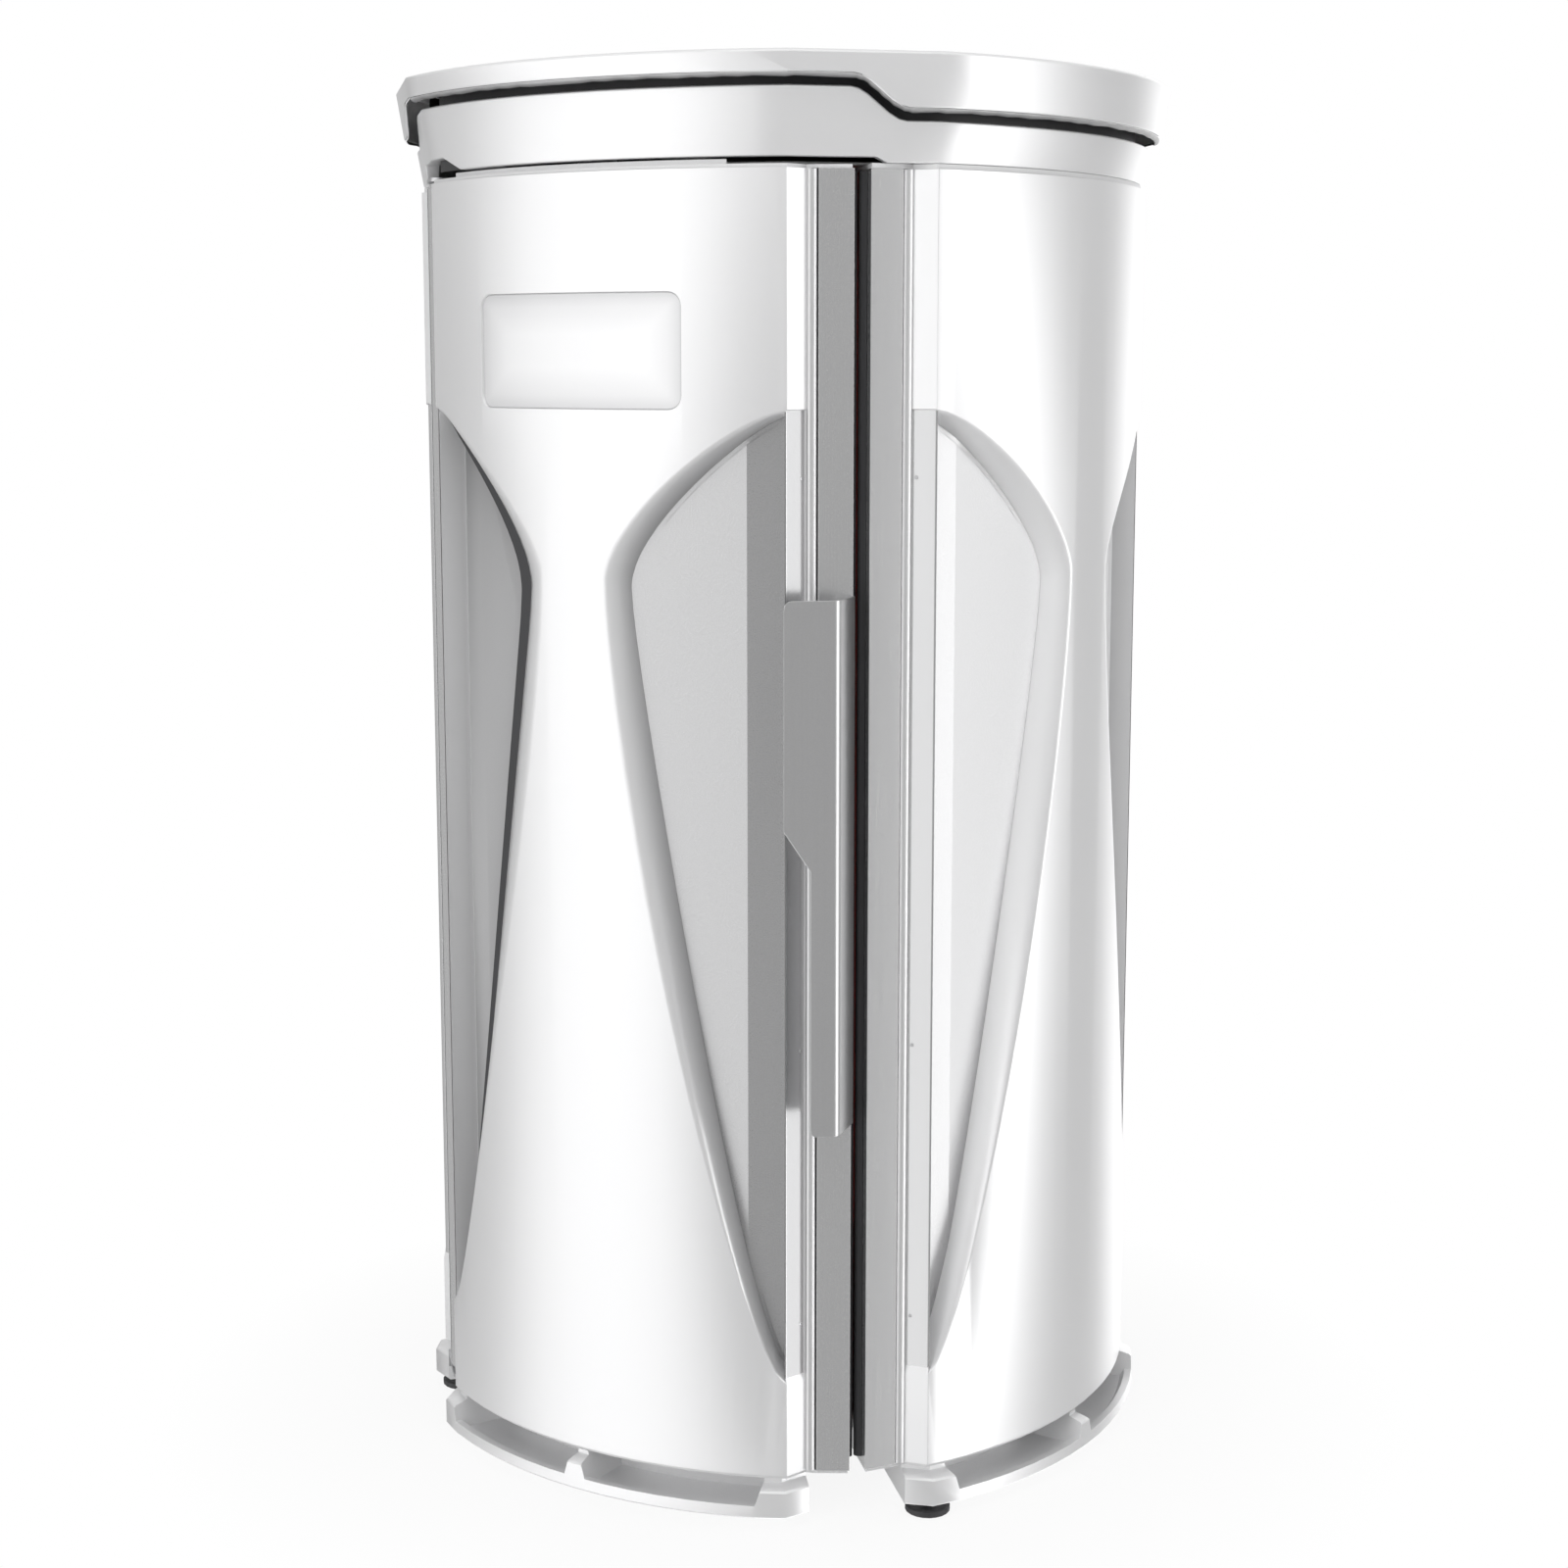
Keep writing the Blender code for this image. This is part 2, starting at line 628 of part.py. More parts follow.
def panel_side(sheet, side, walls):
    """Crease, chamfered facet, bead and turned edge along one side of a panel."""
    known = {round(RECESS_TOP, 6): walls[0][0], round(RECESS_BOTTOM, 6): walls[-1][0],
             round(FOOT_TOP, 6): walls[0][-1],
             round(FOOT_BOTTOM, 6): walls[-1][-1]}
    start = np.array((FLAT_HALF, FLAT))
    along = np.array((FACET_P, FACET_Q)) - start
    along /= np.linalg.norm(along)
    inward = np.array((along[1], -along[0]))
    inward *= -np.sign(inward[1])
    path = [start + STRIP_EDGE * along]
    path += [np.array((FACET_P, FACET_Q)) + d for d in
             ((0.0, 0.0), (-0.10 * BEAD, 0.8 * BEAD_RISE), (-0.5 * BEAD, BEAD_RISE),
              (-0.9 * BEAD, 0.5 * BEAD_RISE), (-BEAD, -0.25 * LIP), (-BEAD, -LIP))]
    columns = [[] for _ in range(len(path) + 1)]
    for z, back in side_rows():
        crease = known.get(round(z, 6))
        if crease is None:
            crease = sheet.point(side * HALF_ARC, z, on_panel(side * HALF_ARC, z))
        columns[0].append(crease)
        run = HALF_ARC
        last = start
        for k, spot in enumerate(path):
            run += np.linalg.norm(spot - last)
            last = spot
            if k < 2:
                spot = spot + inward * STRIP_DEPTH * back
            u, v = on_flat(spot[0], spot[1], side)
            columns[k + 1].append(sheet.point(side * run, z, (u, v, z)))
    for column in columns:
        sheet.line(column)
    for row in zip(*columns):
        sheet.line(row)


def plate_loop(inset, steps=4):
    """Rounded rectangle of the plate recess, as arc distance and height."""
    half, low, high = PLATE_HALF - inset, PLATE_LOW + inset, PLATE_HIGH - inset
    corner = PLATE_CORNER - inset
    loop = []
    for turn_no, (a, z) in enumerate(((half, high), (-half, high), (-half, low), (half, low))):
        centre = (a - math.copysign(corner, a), z - corner if z == high else z + corner)
        for i in range(steps + 1):
            at = math.pi / 2 * (turn_no + i / steps)
            loop.append((centre[0] + corner * math.cos(at), centre[1] + corner * math.sin(at)))
    return loop


def panel_columns(sheet, tops, bottoms, with_plate):
    """Upright lines that keep the arc round, and the plate recess with its own stretch of them."""
    signed = [0.0] + [s * c for c in COLUMNS for s in (-1, 1)]
    rails = []
    if with_plate:
        for inset, depth in ((0.0, 0.0), (PLATE_SLOPE, PLATE_DEPTH)):
            loop = plate_loop(inset)
            level = {}
            ring = []
            for i, spot in enumerate(loop):
                ring.append(spot)
                after = loop[(i + 1) % len(loop)]
                if abs(after[1] - spot[1]) < 1e-9:
                    inside = [c for c in signed if min(spot[0], after[0]) < c < max(spot[0], after[0])]
                    ring += [(c, spot[1]) for c in sorted(inside, reverse=after[0] < spot[0])]
            points = []
            for a, z in ring:
                points.append(sheet.point(a, z, on_panel(a, z, PANEL_R - depth)))
                if any(abs(a - c) < 1e-9 for c in signed):
                    level.setdefault(round(a, 6), []).append((z, points[-1]))
            sheet.line(points + points[:1])
            rails.append(level)
    for a in signed:
        low = sheet.point(a, Z_PANEL, on_panel(a, Z_PANEL))
        high = sheet.point(a, Z_PANEL_TOP, on_panel(a, Z_PANEL_TOP))
        stops = [low] + ([bottoms[a], tops[a]] if a in tops else [])
        for level in rails:
            stops += [index for _, index in level.get(round(a, 6), [])]
        stops.append(high)
        stops.sort(key=lambda index: sheet.flat[index].y)
        for lower, upper in zip(stops, stops[1:]):
            if a in tops and lower == bottoms[a]:
                continue
            sheet.line([lower, upper])
    for z in (Z_PANEL, Z_PANEL_TOP):
        row = [i for i, p in enumerate(sheet.flat) if abs(p.y - z) < NEAR and abs(p.x) < HALF_ARC + NEAR]
        sheet.line(sorted(row, key=lambda i: sheet.flat[i].x))


def recess_insert(quarter, side, name):
    """Grey sheet on the floor of one recess, bent once, short of the walls by the gap."""
    sheet = Sheet()
    bend = BEND_ARC
    side_a = HALF_ARC - INSERT_GAP
    outline = []
    for foot_of, count, drop in ((upper_foot, 10, -INSERT_GAP), (lower_foot, 14, INSERT_GAP)):
        for i in range(count + 1):
            a, z = foot_of(i / count)
            a, z = a + INSERT_GAP, z + drop * (1.0 if a > WAIST * 2 else 0.0)
            if a < side_a - 1e-4 and (not outline or outline[-1][1] - z > 1e-4):
                outline.append((a, z))
    t_top, t_low = crossing(upper_foot, side_a - INSERT_GAP), crossing(lower_foot, side_a - INSERT_GAP)
    outline.insert(0, (side_a, upper_foot(t_top)[1] - INSERT_GAP))
    outline.append((side_a, lower_foot(t_low)[1] + INSERT_GAP))
    points, bends = [], []
    for i, (a, z) in enumerate(outline):
        if i and (outline[i - 1][0] - bend) * (a - bend) < 0:
            share = (bend - outline[i - 1][0]) / (a - outline[i - 1][0])
            mid_z = outline[i - 1][1] + share * (z - outline[i - 1][1])
            bends.append(insert_point(sheet, side, bend, mid_z))
            points.append(bends[-1])
        points.append(insert_point(sheet, side, a, z))
    sheet.line(points + points[:1])
    sheet.line(bends)
    return turn(sheet.build(name, GREY, INSERT_SHEET, inwards=False), quarter)


def insert_point(sheet, side, a, z):
    return sheet.point(side * a, z, on_panel(side * a, z, floor_radius(a / PANEL_R) + FIT))


# Stiles and posts

def stile_outline(end):
    """Box section with a slanted face, and a flange that holds the lamp board."""
    near, far = STILE_NEAR, STILE_FAR
    spots = ((near, STILE_NEAR_Q), (near, FLANGE_Q), (near + STILE_WALL, FLANGE_Q),
             (near + STILE_WALL, STILE_BACK_Q), (far, STILE_BACK_Q), (far, STILE_FAR_Q))
    return [on_flat(p, q, end) for p, q in spots]


def bore_spots():
    """Hollow of a stile: along the flat and out from the middle."""
    wall = STILE_WALL
    slant = (STILE_NEAR_Q - STILE_FAR_Q) / (STILE_FAR - STILE_NEAR)
    near, far = STILE_NEAR + wall, STILE_FAR - wall
    front = [STILE_NEAR_Q - slant * (p - STILE_NEAR) - wall for p in (near, far)]
    return ((near, front[0]), (near, STILE_BACK_Q + wall), (far, STILE_BACK_Q + wall), (far, front[1]))


def hollow(body, outline, name, quarter):
    """Cuts a plan outline right through an upright piece."""
    over = 0.01
    bore = prism(outline, Z_PANEL - over, Z_PANEL_TOP + over, name, ALUMINIUM)
    boolean(body, turn(cutter(bore), quarter))


def stile(quarter, end, name):
    body = turn(prism(stile_outline(end), Z_PANEL, Z_PANEL_TOP, name, ALUMINIUM), quarter)
    hollow(body, [on_flat(p, q, end) for p, q in bore_spots()], name + "_bore", quarter)
    return body


def post(quarter, name):
    """Joint post of two fixed modules: both stiles and the web between them in one hollow section."""
    spots = [(STILE_NEAR, STILE_NEAR_Q - POST_GROOVE), (STILE_NEAR, STILE_NEAR_Q), (STILE_FAR, STILE_FAR_Q),
             (STILE_FAR, STILE_BACK_Q), (STILE_NEAR + STILE_WALL, STILE_BACK_Q),
             (STILE_NEAR + STILE_WALL, FLANGE_Q)]
    outline = [on_flat(p, q) for p, q in spots] + [on_flat(-p, q) for p, q in spots[::-1]]
    body = turn(prism(outline, Z_PANEL, Z_PANEL_TOP, name, ALUMINIUM), quarter)
    for side in (-1, 1):
        hollow(body, [on_flat(side * p, q) for p, q in bore_spots()], f"{name}_bore_{side + 1}", quarter)
    return body


# End plates, lamp boards and shields

def module_outline(inner_r, inset):
    """Plan of a module between its seams, held in from the panel's face."""
    half = []
    half += [(PLATE_NEAR, inner_q(inner_r)), (PLATE_NEAR, STILE_NEAR_Q - inset)]
    half += [(STILE_FAR, STILE_FAR_Q - inset), (FACET_P, FACET_Q - inset)]
    outline = [on_flat(p, q, 1) for p, q in half]
    outline += arc(PANEL_R - inset, HALF_ANGLE, -HALF_ANGLE, ARC_STEPS)
    outline += [on_flat(p, q, -1) for p, q in half[::-1]]
    stop = arc_end(inner_r, PLATE_NEAR)
    outline += arc(inner_r, -stop, stop, ARC_STEPS)[1:-1]
    return outline


def inner_q(radius):
    """How far out an arc about the panel's centre meets the plate's edge at the seam."""
    half = ROOT2 * ARC_U / 2
    b, c = -2 * half, PLATE_NEAR**2 - 2 * half * PLATE_NEAR + ARC_U**2 - radius**2
    return (-b + math.sqrt(b * b - 4 * c)) / 2


def end_plate(quarter, name, z0, inner_r):
    return turn(prism(module_outline(inner_r, PLATE_INSET), z0, z0 + PLATE, name, WHITE_SATIN), quarter)


def shield(quarter, name):
    """Clear curved sheet in front of the lamps."""
    stop = arc_end(SHIELD_R + SHIELD_SHEET, LAMP_EDGE)
    outline = arc(SHIELD_R + SHIELD_SHEET, stop, -stop, ARC_STEPS)
    outline += arc(SHIELD_R, -stop, stop, ARC_STEPS)
    return turn(prism(outline, Z_PANEL, Z_PANEL_TOP, name, CLEAR), quarter)


def lamp_board(quarter, name):
    """Curved board that carries the lamps, with a rib at both upright edges that spaces the shield."""
    rib = SPACER / BOARD_R
    stop = arc_end(BOARD_R + BOARD_SHEET, LAMP_EDGE)
    face = SHIELD_R + SHIELD_SHEET + FIT
    outline = arc(BOARD_R + BOARD_SHEET, stop, -stop, ARC_STEPS)
    outline += [on_arc(-stop, face), on_arc(-stop + rib, face)]
    outline += arc(BOARD_R, -stop + rib, stop - rib, ARC_STEPS)
    outline += [on_arc(stop - rib, face), on_arc(stop, face)]
    return turn(prism(outline, Z_PANEL, Z_PANEL_TOP, name, BOARD_WHITE), quarter)


# Moulded bases

def base_ring(offset, z):
    """Outline of a base at one level: outer face, end walls and inner face."""
    end_q = FACET_Q + offset - BASE_END_IN
    crease = (FLAT_HALF + BASE_CREASE_PAST, FLAT + offset - BASE_CREASE_IN)
    back = arc_end(BASE_INNER_R, BASE_END_P)
    ring = [on_flat(BASE_END_P, end_q, 1), on_flat(*crease, 1)]
    stop = math.atan2(ring[1][1], ring[1][0] - ARC_U)
    ring += arc(PANEL_R + offset, stop, -stop, ARC_STEPS)[1:-1]
    ring += [on_flat(*crease, -1), on_flat(BASE_END_P, end_q, -1)]
    ring += arc(BASE_INNER_R, -back, back, ARC_STEPS)
    return [(u, v, z) for u, v in ring]


def slot_cutter(side, name):
    """Scoop of an air slot: over the low front lip, down behind it and in under the panel."""
    over = 0.02
    face = PANEL_R + BASE_OUT
    back = BASE_INNER_R + SLOT_BACK
    top = Z_DECK + over
    lip = Z_BASE + LIP_HEIGHT
    section = ((face + over, lip), (face - LIP_WALL, lip), (face - LIP_WALL - SLOT_RAMP, Z_BASE + SLOT_FLOOR),
               (back, Z_BASE + SLOT_FLOOR), (back, top), (face + over, top))
    rings = []
    steps = 8
    for i in range(steps + 1):
        ring = []
        for radius, z in section:
            lean = SLOT_FLARE * (z - lip) / (Z_DECK - lip)
            low, high = SLOT_INNER - lean, SLOT_OUTER + lean
            u, v = on_arc(low + (high - low) * i / steps, radius)
            ring.append((u, side * v, z))
        rings.append(ring)
    return cutter(loft(rings, name, WHITE))


def base(quarter, name):
    low, high = Z_BASE, Z_BASE + BASE_SHOULDER
    levels = ((low, BASE_OUT - BASE_EDGE), (low + BASE_EDGE, BASE_OUT), (high - BASE_EDGE, BASE_OUT),
              (high, BASE_OUT - BASE_EDGE), (high + BASE_NECK_RISE, -BASE_NECK_IN), (Z_DECK, -BASE_NECK_IN))
    body = loft([base_ring(offset, z) for z, offset in levels], name, WHITE)
    turn(body, quarter)
    for side in (-1, 1):
        scoop = slot_cutter(side, f"{name}_scoop_{side + 1}")
        turn(scoop, quarter)
        boolean(body, scoop)
    return body


# Crown

FLAT_STEPS = (-0.080, -0.055, -0.022, -0.010, 0.004, 0.0205, 0.037, 0.052, 0.064, 0.085)


def perimeter():
    """Samples round the crown: quarter, share of its arc, or place on the flat after it."""
    samples = []
    for k, quarter in enumerate(QUARTER_ANGLES):
        samples += [(quarter, "arc", -1 + 2 * i / ARC_STEPS) for i in range(ARC_STEPS + 1)]
        if quarter in ("door", "rear_left"):
            sign = 1 if quarter == "door" else -1
            samples += [(quarter, "flat", sign * d) for d in FLAT_STEPS[::sign]]
    return samples


def fixed_side(sample):
    """Distance along the outline past a door seam, positive over the fixed modules."""
    quarter, kind, value = sample
    if kind == "flat":
        return value if quarter == "door" else -value
    if quarter == "door":
        return (abs(value) - 1.0) * HALF_ARC - FLAT_HALF
    return FLAT_HALF


def crown_spot(sample, offset):
    quarter, kind, value = sample
    angle = QUARTER_ANGLES[quarter]
    p = crease_of(offset)
    if kind == "flat":
        return to_world(((FLAT + offset - value) / ROOT2, (FLAT + offset + value) / ROOT2), angle)
    crease = on_flat(p, FLAT + offset)
    stop = math.atan2(crease[1], crease[0] - ARC_U)
    return to_world(on_arc(value * stop, PANEL_R + offset), angle)


def wave(sample):
    """0 over the door, 1 over the fixed modules, with a soft step between."""
    t = (fixed_side(sample) - WAVE_START) / (WAVE_END - WAVE_START)
    t = min(1.0, max(0.0, t))
    return t * t * (3 - 2 * t)


def cap_bottom(sample):
    return Z_TOP - CAP_SHALLOW - (CAP_DEEP - CAP_SHALLOW) * wave(sample)


def cap_out(z):
    return CAP_OUT - CAP_LEAN * (Z_TOP - z)


def crown_cap():
    """Shallow roof pan with a flared wall whose lower edge steps down past the door."""
    samples = perimeter()

    def ring(level, inset):
        spots = []
        for s in samples:
            z = level(s)
            spots.append((*crown_spot(s, cap_out(z) - inset), z))
        return spots
    rings = [ring(lambda s: Z_TOP, CAP_EDGE), ring(lambda s: Z_TOP - CAP_EDGE, 0.0),
             ring(lambda s: cap_bottom(s) + CAP_EDGE / 2, 0.0),
             ring(cap_bottom, CAP_EDGE / 2), ring(cap_bottom, CAP_WALL),
             ring(lambda s: Z_TOP - CAP_WALL, CAP_WALL)]
    return loft(rings, "crown_cap", WHITE)


def fascia_bottom(sample):
    past = fixed_side(sample)
    quarter, kind, value = sample
    left = quarter == "rear_left" or (quarter == "door" and kind == "arc" and value < 0)
    door_z = Z_DOOR_TOP + DOOR_GAP
    if left and kind == "flat" and past < NOTCH_TO:
        return door_z + NOTCH
    if left and quarter == "door" and past > NOTCH_FROM:
        return door_z + NOTCH
    return door_z if past < DOOR_EDGE else Z_CROWN


def crown_fascia():
    """Flared band under the cap, with an inner upstand whose posts carry the cap."""
    samples = perimeter()

    def out(z):
        return FASCIA_OUT + FASCIA_LEAN * (z - Z_CROWN)

    rings = [[] for _ in range(7)]
    for s in samples:
        low = fascia_bottom(s)
        high = cap_bottom(s) - GROOVE
        quarter, kind, value = s
        on_post = kind == "arc" and abs(abs(value) - POST_AT) < POST_SPAN
        crest = Z_TOP - CAP_WALL - FIT if on_post else high + UPSTAND_RISE
        face = -UPSTAND_IN - (POST_BACK if on_post else 0.0)
        section = ((out(low), low), (out(high - FASCIA_EDGE), high - FASCIA_EDGE),
                   (out(high) - FASCIA_EDGE, high), (face, high), (face, crest),
                   (face - UPSTAND_WALL, crest), (face - UPSTAND_WALL, low))
        for ring, (offset, z) in zip(rings, section):
            ring.append((*crown_spot(s, offset), z))
    return loft(rings, "crown_fascia", WHITE, closed=True)


def roof_frame():
    """Ring plate that ties the tops of the three fixed modules together."""
    outer, inner = [], []
    for quarter in ("front_right", "rear_right", "rear_left"):
        angle = QUARTER_ANGLES[quarter]
        start = [on_flat(p, q, -1) for p, q in ((PLATE_NEAR, STILE_NEAR_Q - PLATE_INSET),
                                                (STILE_FAR, STILE_FAR_Q - PLATE_INSET),
                                                (FACET_P, FACET_Q - PLATE_INSET))]
        run = start + arc(PANEL_R - PLATE_INSET, -HALF_ANGLE, HALF_ANGLE, ARC_STEPS)
        run += [(u, -v) for u, v in start[::-1]]
        outer += [to_world(p, angle) for p in run]
        stop = arc_end(FIXED_PLATE_R, PLATE_NEAR)
        inner += [to_world(p, angle) for p in arc(FIXED_PLATE_R, -stop, stop, ARC_STEPS)]
    return prism(outer + inner[::-1], Z_TOP_PLATE, Z_ROOF, "roof_frame", WHITE_SATIN)


# Ceiling, fan and power supply

def ceiling_panel():
    samples = [s for s in perimeter() if s[1] == "arc"]
    outline = [crown_spot(s, -CEILING_IN) for s in samples]
    panel = prism(outline, Z_CROWN, Z_CEILING, "ceiling_panel", WHITE_SATIN)
    pitch = 2 * VENT_R / VENT_SLOTS
    for i in range(VENT_SLOTS):
        y = (i - (VENT_SLOTS - 1) / 2) * pitch
        reach = math.sqrt(VENT_R**2 - (abs(y) + (pitch - VENT_BAR) / 2 - VENT_BAR / 2) ** 2)
        slot = box(f"vent_slot_{i}", WHITE, (2 * reach, pitch - VENT_BAR, 5 * CEILING_SHEET), (0.0, y, Z_CROWN))
        boolean(panel, cutter(slot))
    return panel


def fan_shroud():
    """Ring with a foot flange, four struts and the motor that turns the fan."""
    z0 = Z_CEILING + FIT
    sides = 28
    profile = ((SHROUD_R, z0), (SHROUD_R + SHROUD_FLANGE, z0), (SHROUD_R + SHROUD_FLANGE, z0 + SHROUD_FOOT),
               (SHROUD_R + SHROUD_WALL, z0 + SHROUD_FOOT), (SHROUD_R + SHROUD_WALL, z0 + SHROUD_HEIGHT),
               (SHROUD_R, z0 + SHROUD_HEIGHT))
    turns = [2 * math.pi * i / sides for i in range(sides)]
    rings = [[(r * math.cos(t), r * math.sin(t), z) for t in turns] for r, z in profile]
    ring = loft(rings, "fan_shroud", BLACK_PLASTIC, closed=True)
    motor = cutter(cylinder("motor_body", BLACK_PLASTIC, FAN_HUB_R - MOTOR_IN, z0, z0 + FAN_Z - FIT))
    boolean(ring, motor, "UNION")
    for k in range(4):
        reach = SHROUD_R + SHROUD_WALL / 2
        start = FAN_HUB_R - STRUT_ROOT
        turned = Matrix.Rotation(math.pi / 4 + k * math.pi / 2, 4, "Z")
        strut = box(f"strut_{k}", BLACK_PLASTIC, (reach - start, *STRUT),
                    ((reach + start) / 2, 0.0, z0 + STRUT_Z))
        strut.matrix_world = turned
        boolean(ring, cutter(strut), "UNION")
    return ring


def fan_rotor():
    """Axial fan: hub and pitched blades that widen and flatten towards the tips."""
    z0 = Z_CEILING + FIT + FAN_Z
    hub = cylinder("fan_rotor", BLACK_PLASTIC, FAN_HUB_R, z0, z0 + FAN_HEIGHT, sides=28, edge=HUB_EDGE)
    root = FAN_HUB_R - BLADE_ROOT
    for k in range(FAN_BLADES):
        rings = []
        for share in (0.0, 0.5, 1.0):
            radius = root + share * (FAN_R - root)
            pitch = BLADE_PITCH * (1.0 - 0.4 * share)
            chord = BLADE_CHORD * (1.0 + 0.7 * share)
            ring = []
            for along, across in ((-0.5, 0.5), (-0.5, -0.5), (0.5, -0.5), (0.5, 0.5)):
                side = along * chord * math.cos(pitch) - across * BLADE_THICK * math.sin(pitch)
                rise = along * chord * math.sin(pitch) + across * BLADE_THICK * math.cos(pitch)
                ring.append((radius, side + BLADE_SWEEP * share**2, z0 + FAN_HEIGHT / 2 + rise))
            rings.append(ring)
        blade = cutter(loft(rings, f"blade_{k}", BLACK_PLASTIC))
        blade.rotation_euler = (0.0, 0.0, 2 * math.pi * k / FAN_BLADES)
        boolean(hub, blade, "UNION")
    return hub


def power_supply():
    """Finned power supply on the ceiling panel, beside the fan."""
    x, y = SUPPLY_AT
    dx, dy, dz = SUPPLY
    fins, z0 = 7, Z_CEILING + FIT
    pitch = dy / (2 * fins - 1)
    body = box("power_supply", DARK_STEEL, (dx, dy, dz), (x, y, z0 + dz / 2))
    for i in range(fins - 1):
        gap = box(f"fin_gap_{i}", DARK_STEEL, (dx * 1.2, pitch, dz * 0.5),
                  (x, y - dy / 2 + pitch * (2 * i + 1.5), z0 + dz))
        boolean(body, cutter(gap))
    return body


# Floor and feet

def disc(name, look, radius, z0, z1, edge):
    return cylinder(name, look, radius, z0, z1, sides=40, edge=edge)


def base_foot(quarter, end, name):
    """Levelling foot: wide pad with a rounded edge and a stem up to the base."""
    at = on_flat(FOOT_P, FOOT_Q, end)
    return turn(foot(name, FOOT_R, Z_BASE - FIT, at), quarter)


def foot(name, radius, top, at=(0.0, 0.0)):
    levels = ((0.0, radius - FOOT_EDGE), (FOOT_EDGE, radius), (FOOT_PAD - FOOT_EDGE, radius),
              (FOOT_PAD, radius - 2 * FOOT_EDGE), (FOOT_PAD, FOOT_STEM_R), (top, FOOT_STEM_R))
    turns = [2 * math.pi * i / FOOT_SIDES for i in range(FOOT_SIDES)]
    rings = [[(at[0] + r * math.cos(t), at[1] + r * math.sin(t), z) for t in turns] for z, r in levels]
    return loft(rings, name, BLACK_RUBBER)


# Pivots

def lower_pivot():
    """Arm on the end wall of the rear left base, with the pin that the door stands on."""
    x, y = -PIVOT_Q, -PIVOT_P
    top = Z_PLATE - RUN
    wall_y = BASE_END_P - FIT
    outline = nose(x, y) + [(x + ARM_HALF, wall_y), (x - ARM_HALF, wall_y)]
    arm = prism(outline, top - ARM_THICK, top, "lower_pivot", STEEL)
    pad = box("lower_pad", STEEL, (2 * ARM_HALF, ARM_THICK, ARM_PAD),
              (x, wall_y - ARM_THICK / 2, top - ARM_PAD / 2))
    pin = cylinder("lower_pin", STEEL, PIN_R, top - ARM_THICK / 2, Z_PANEL + PIN_REACH, (x, y), 20)
    for extra in (pad, pin):
        boolean(arm, cutter(extra), "UNION")
    return arm


def upper_pivot():
    """Plate on the roof frame, cranked inside the crown, that holds a pin down into the door's corner."""
    x, y = -PIVOT_Q, -PIVOT_P
    low = Z_CROWN
    outer = -(FLAT - UPSTAND_IN - UPSTAND_WALL - ARM_GAP)
    inner = -(FLAT - CEILING_IN + ARM_GAP)
    crank = NOTCH_TO - 2 * ARM_GAP
    outline = nose(x, y) + [(x + ARM_HALF, crank), (inner, crank + ARM_GAP), (inner, UPPER_REACH),
                            (outer, UPPER_REACH), (outer, crank), (x - ARM_HALF, crank)]
    arm = prism(outline, low, low + ARM_THICK, "upper_pivot", STEEL)
    pin = cylinder("upper_pin", STEEL, PIN_R, Z_PANEL_TOP - PIN_REACH, low + ARM_THICK / 2, (x, y), 20)
    boolean(arm, cutter(pin), "UNION")
    return arm


def nose(x, y):
    """Round end of an arm about a pin, on the side towards the door."""
    turns = [math.pi + math.pi * i / 12 for i in range(13)]
    return [(x + ARM_HALF * math.cos(t), y + ARM_HALF * math.sin(t)) for t in turns]


def pivot_hole(plate, z):
    hole = cylinder(plate.name + "_pivot_hole", STEEL, PIN_R + FIT, z - 0.02, z + 0.02,
                    (-PIVOT_Q, -PIVOT_P), 20)
    hang_on_door(cutter(hole))
    boolean(plate, hole)


# Seals

def seal(quarter, end, name, tip):
    """Black sealing strip on a stile's edge, with a rounded bulb towards the seam's middle."""
    near, middle = STILE_NEAR - FIT, (SEAL_OUT + SEAL_IN) / 2
    bulb = near - tip
    spots = [(near, SEAL_IN), (near, SEAL_OUT)]
    for i in range(7):
        t = math.pi / 2 - math.pi * i / 6
        reach = SEAL_STEM + (1.0 - SEAL_STEM) * math.cos(t)
        spots.append((near - bulb * reach, middle + SEAL_ROUND * (SEAL_OUT - SEAL_IN) * math.sin(t)))
    outline = [on_flat(p, q, end) for p, q in spots]
    return turn(prism(outline, Z_PANEL + SEAL_FOOT, Z_PANEL_TOP - SEAL_HEAD, name, BLACK_RUBBER), quarter)


# Handle

def handle_path():
    """Plan of the bent sheet, from the flange on the stile to the free edge: along the flat, and out."""
    seat_p = STILE_NEAR - FIT - HANDLE_SHEET
    corner = np.array((HANDLE_BEND, HANDLE_FRONT))
    root = np.array((seat_p, STILE_NEAR_Q + HANDLE_LIFT))
    back = (root - corner) / np.linalg.norm(root - corner)
    ahead = np.array((1.0, 0.0))
    half = math.acos(float(np.clip(back @ ahead, -1, 1))) / 2
    reach = HANDLE_BEND_R / math.tan(half)
    middle = corner + (back + ahead) / np.linalg.norm(back + ahead) * HANDLE_BEND_R / math.sin(half)
    first, last = corner + back * reach, corner + ahead * reach
    a0 = math.atan2(*(first - middle)[::-1])
    a1 = math.atan2(*(last - middle)[::-1])
    a1 += 2 * math.pi if a1 < a0 - math.pi else 0.0
    a1 -= 2 * math.pi if a1 > a0 + math.pi else 0.0
    bend = [middle + HANDLE_BEND_R * np.array((math.cos(a), math.sin(a)))
            for a in np.linspace(a0, a1, 8)]
    return [np.array((seat_p, HANDLE_SEAT)), root] + bend


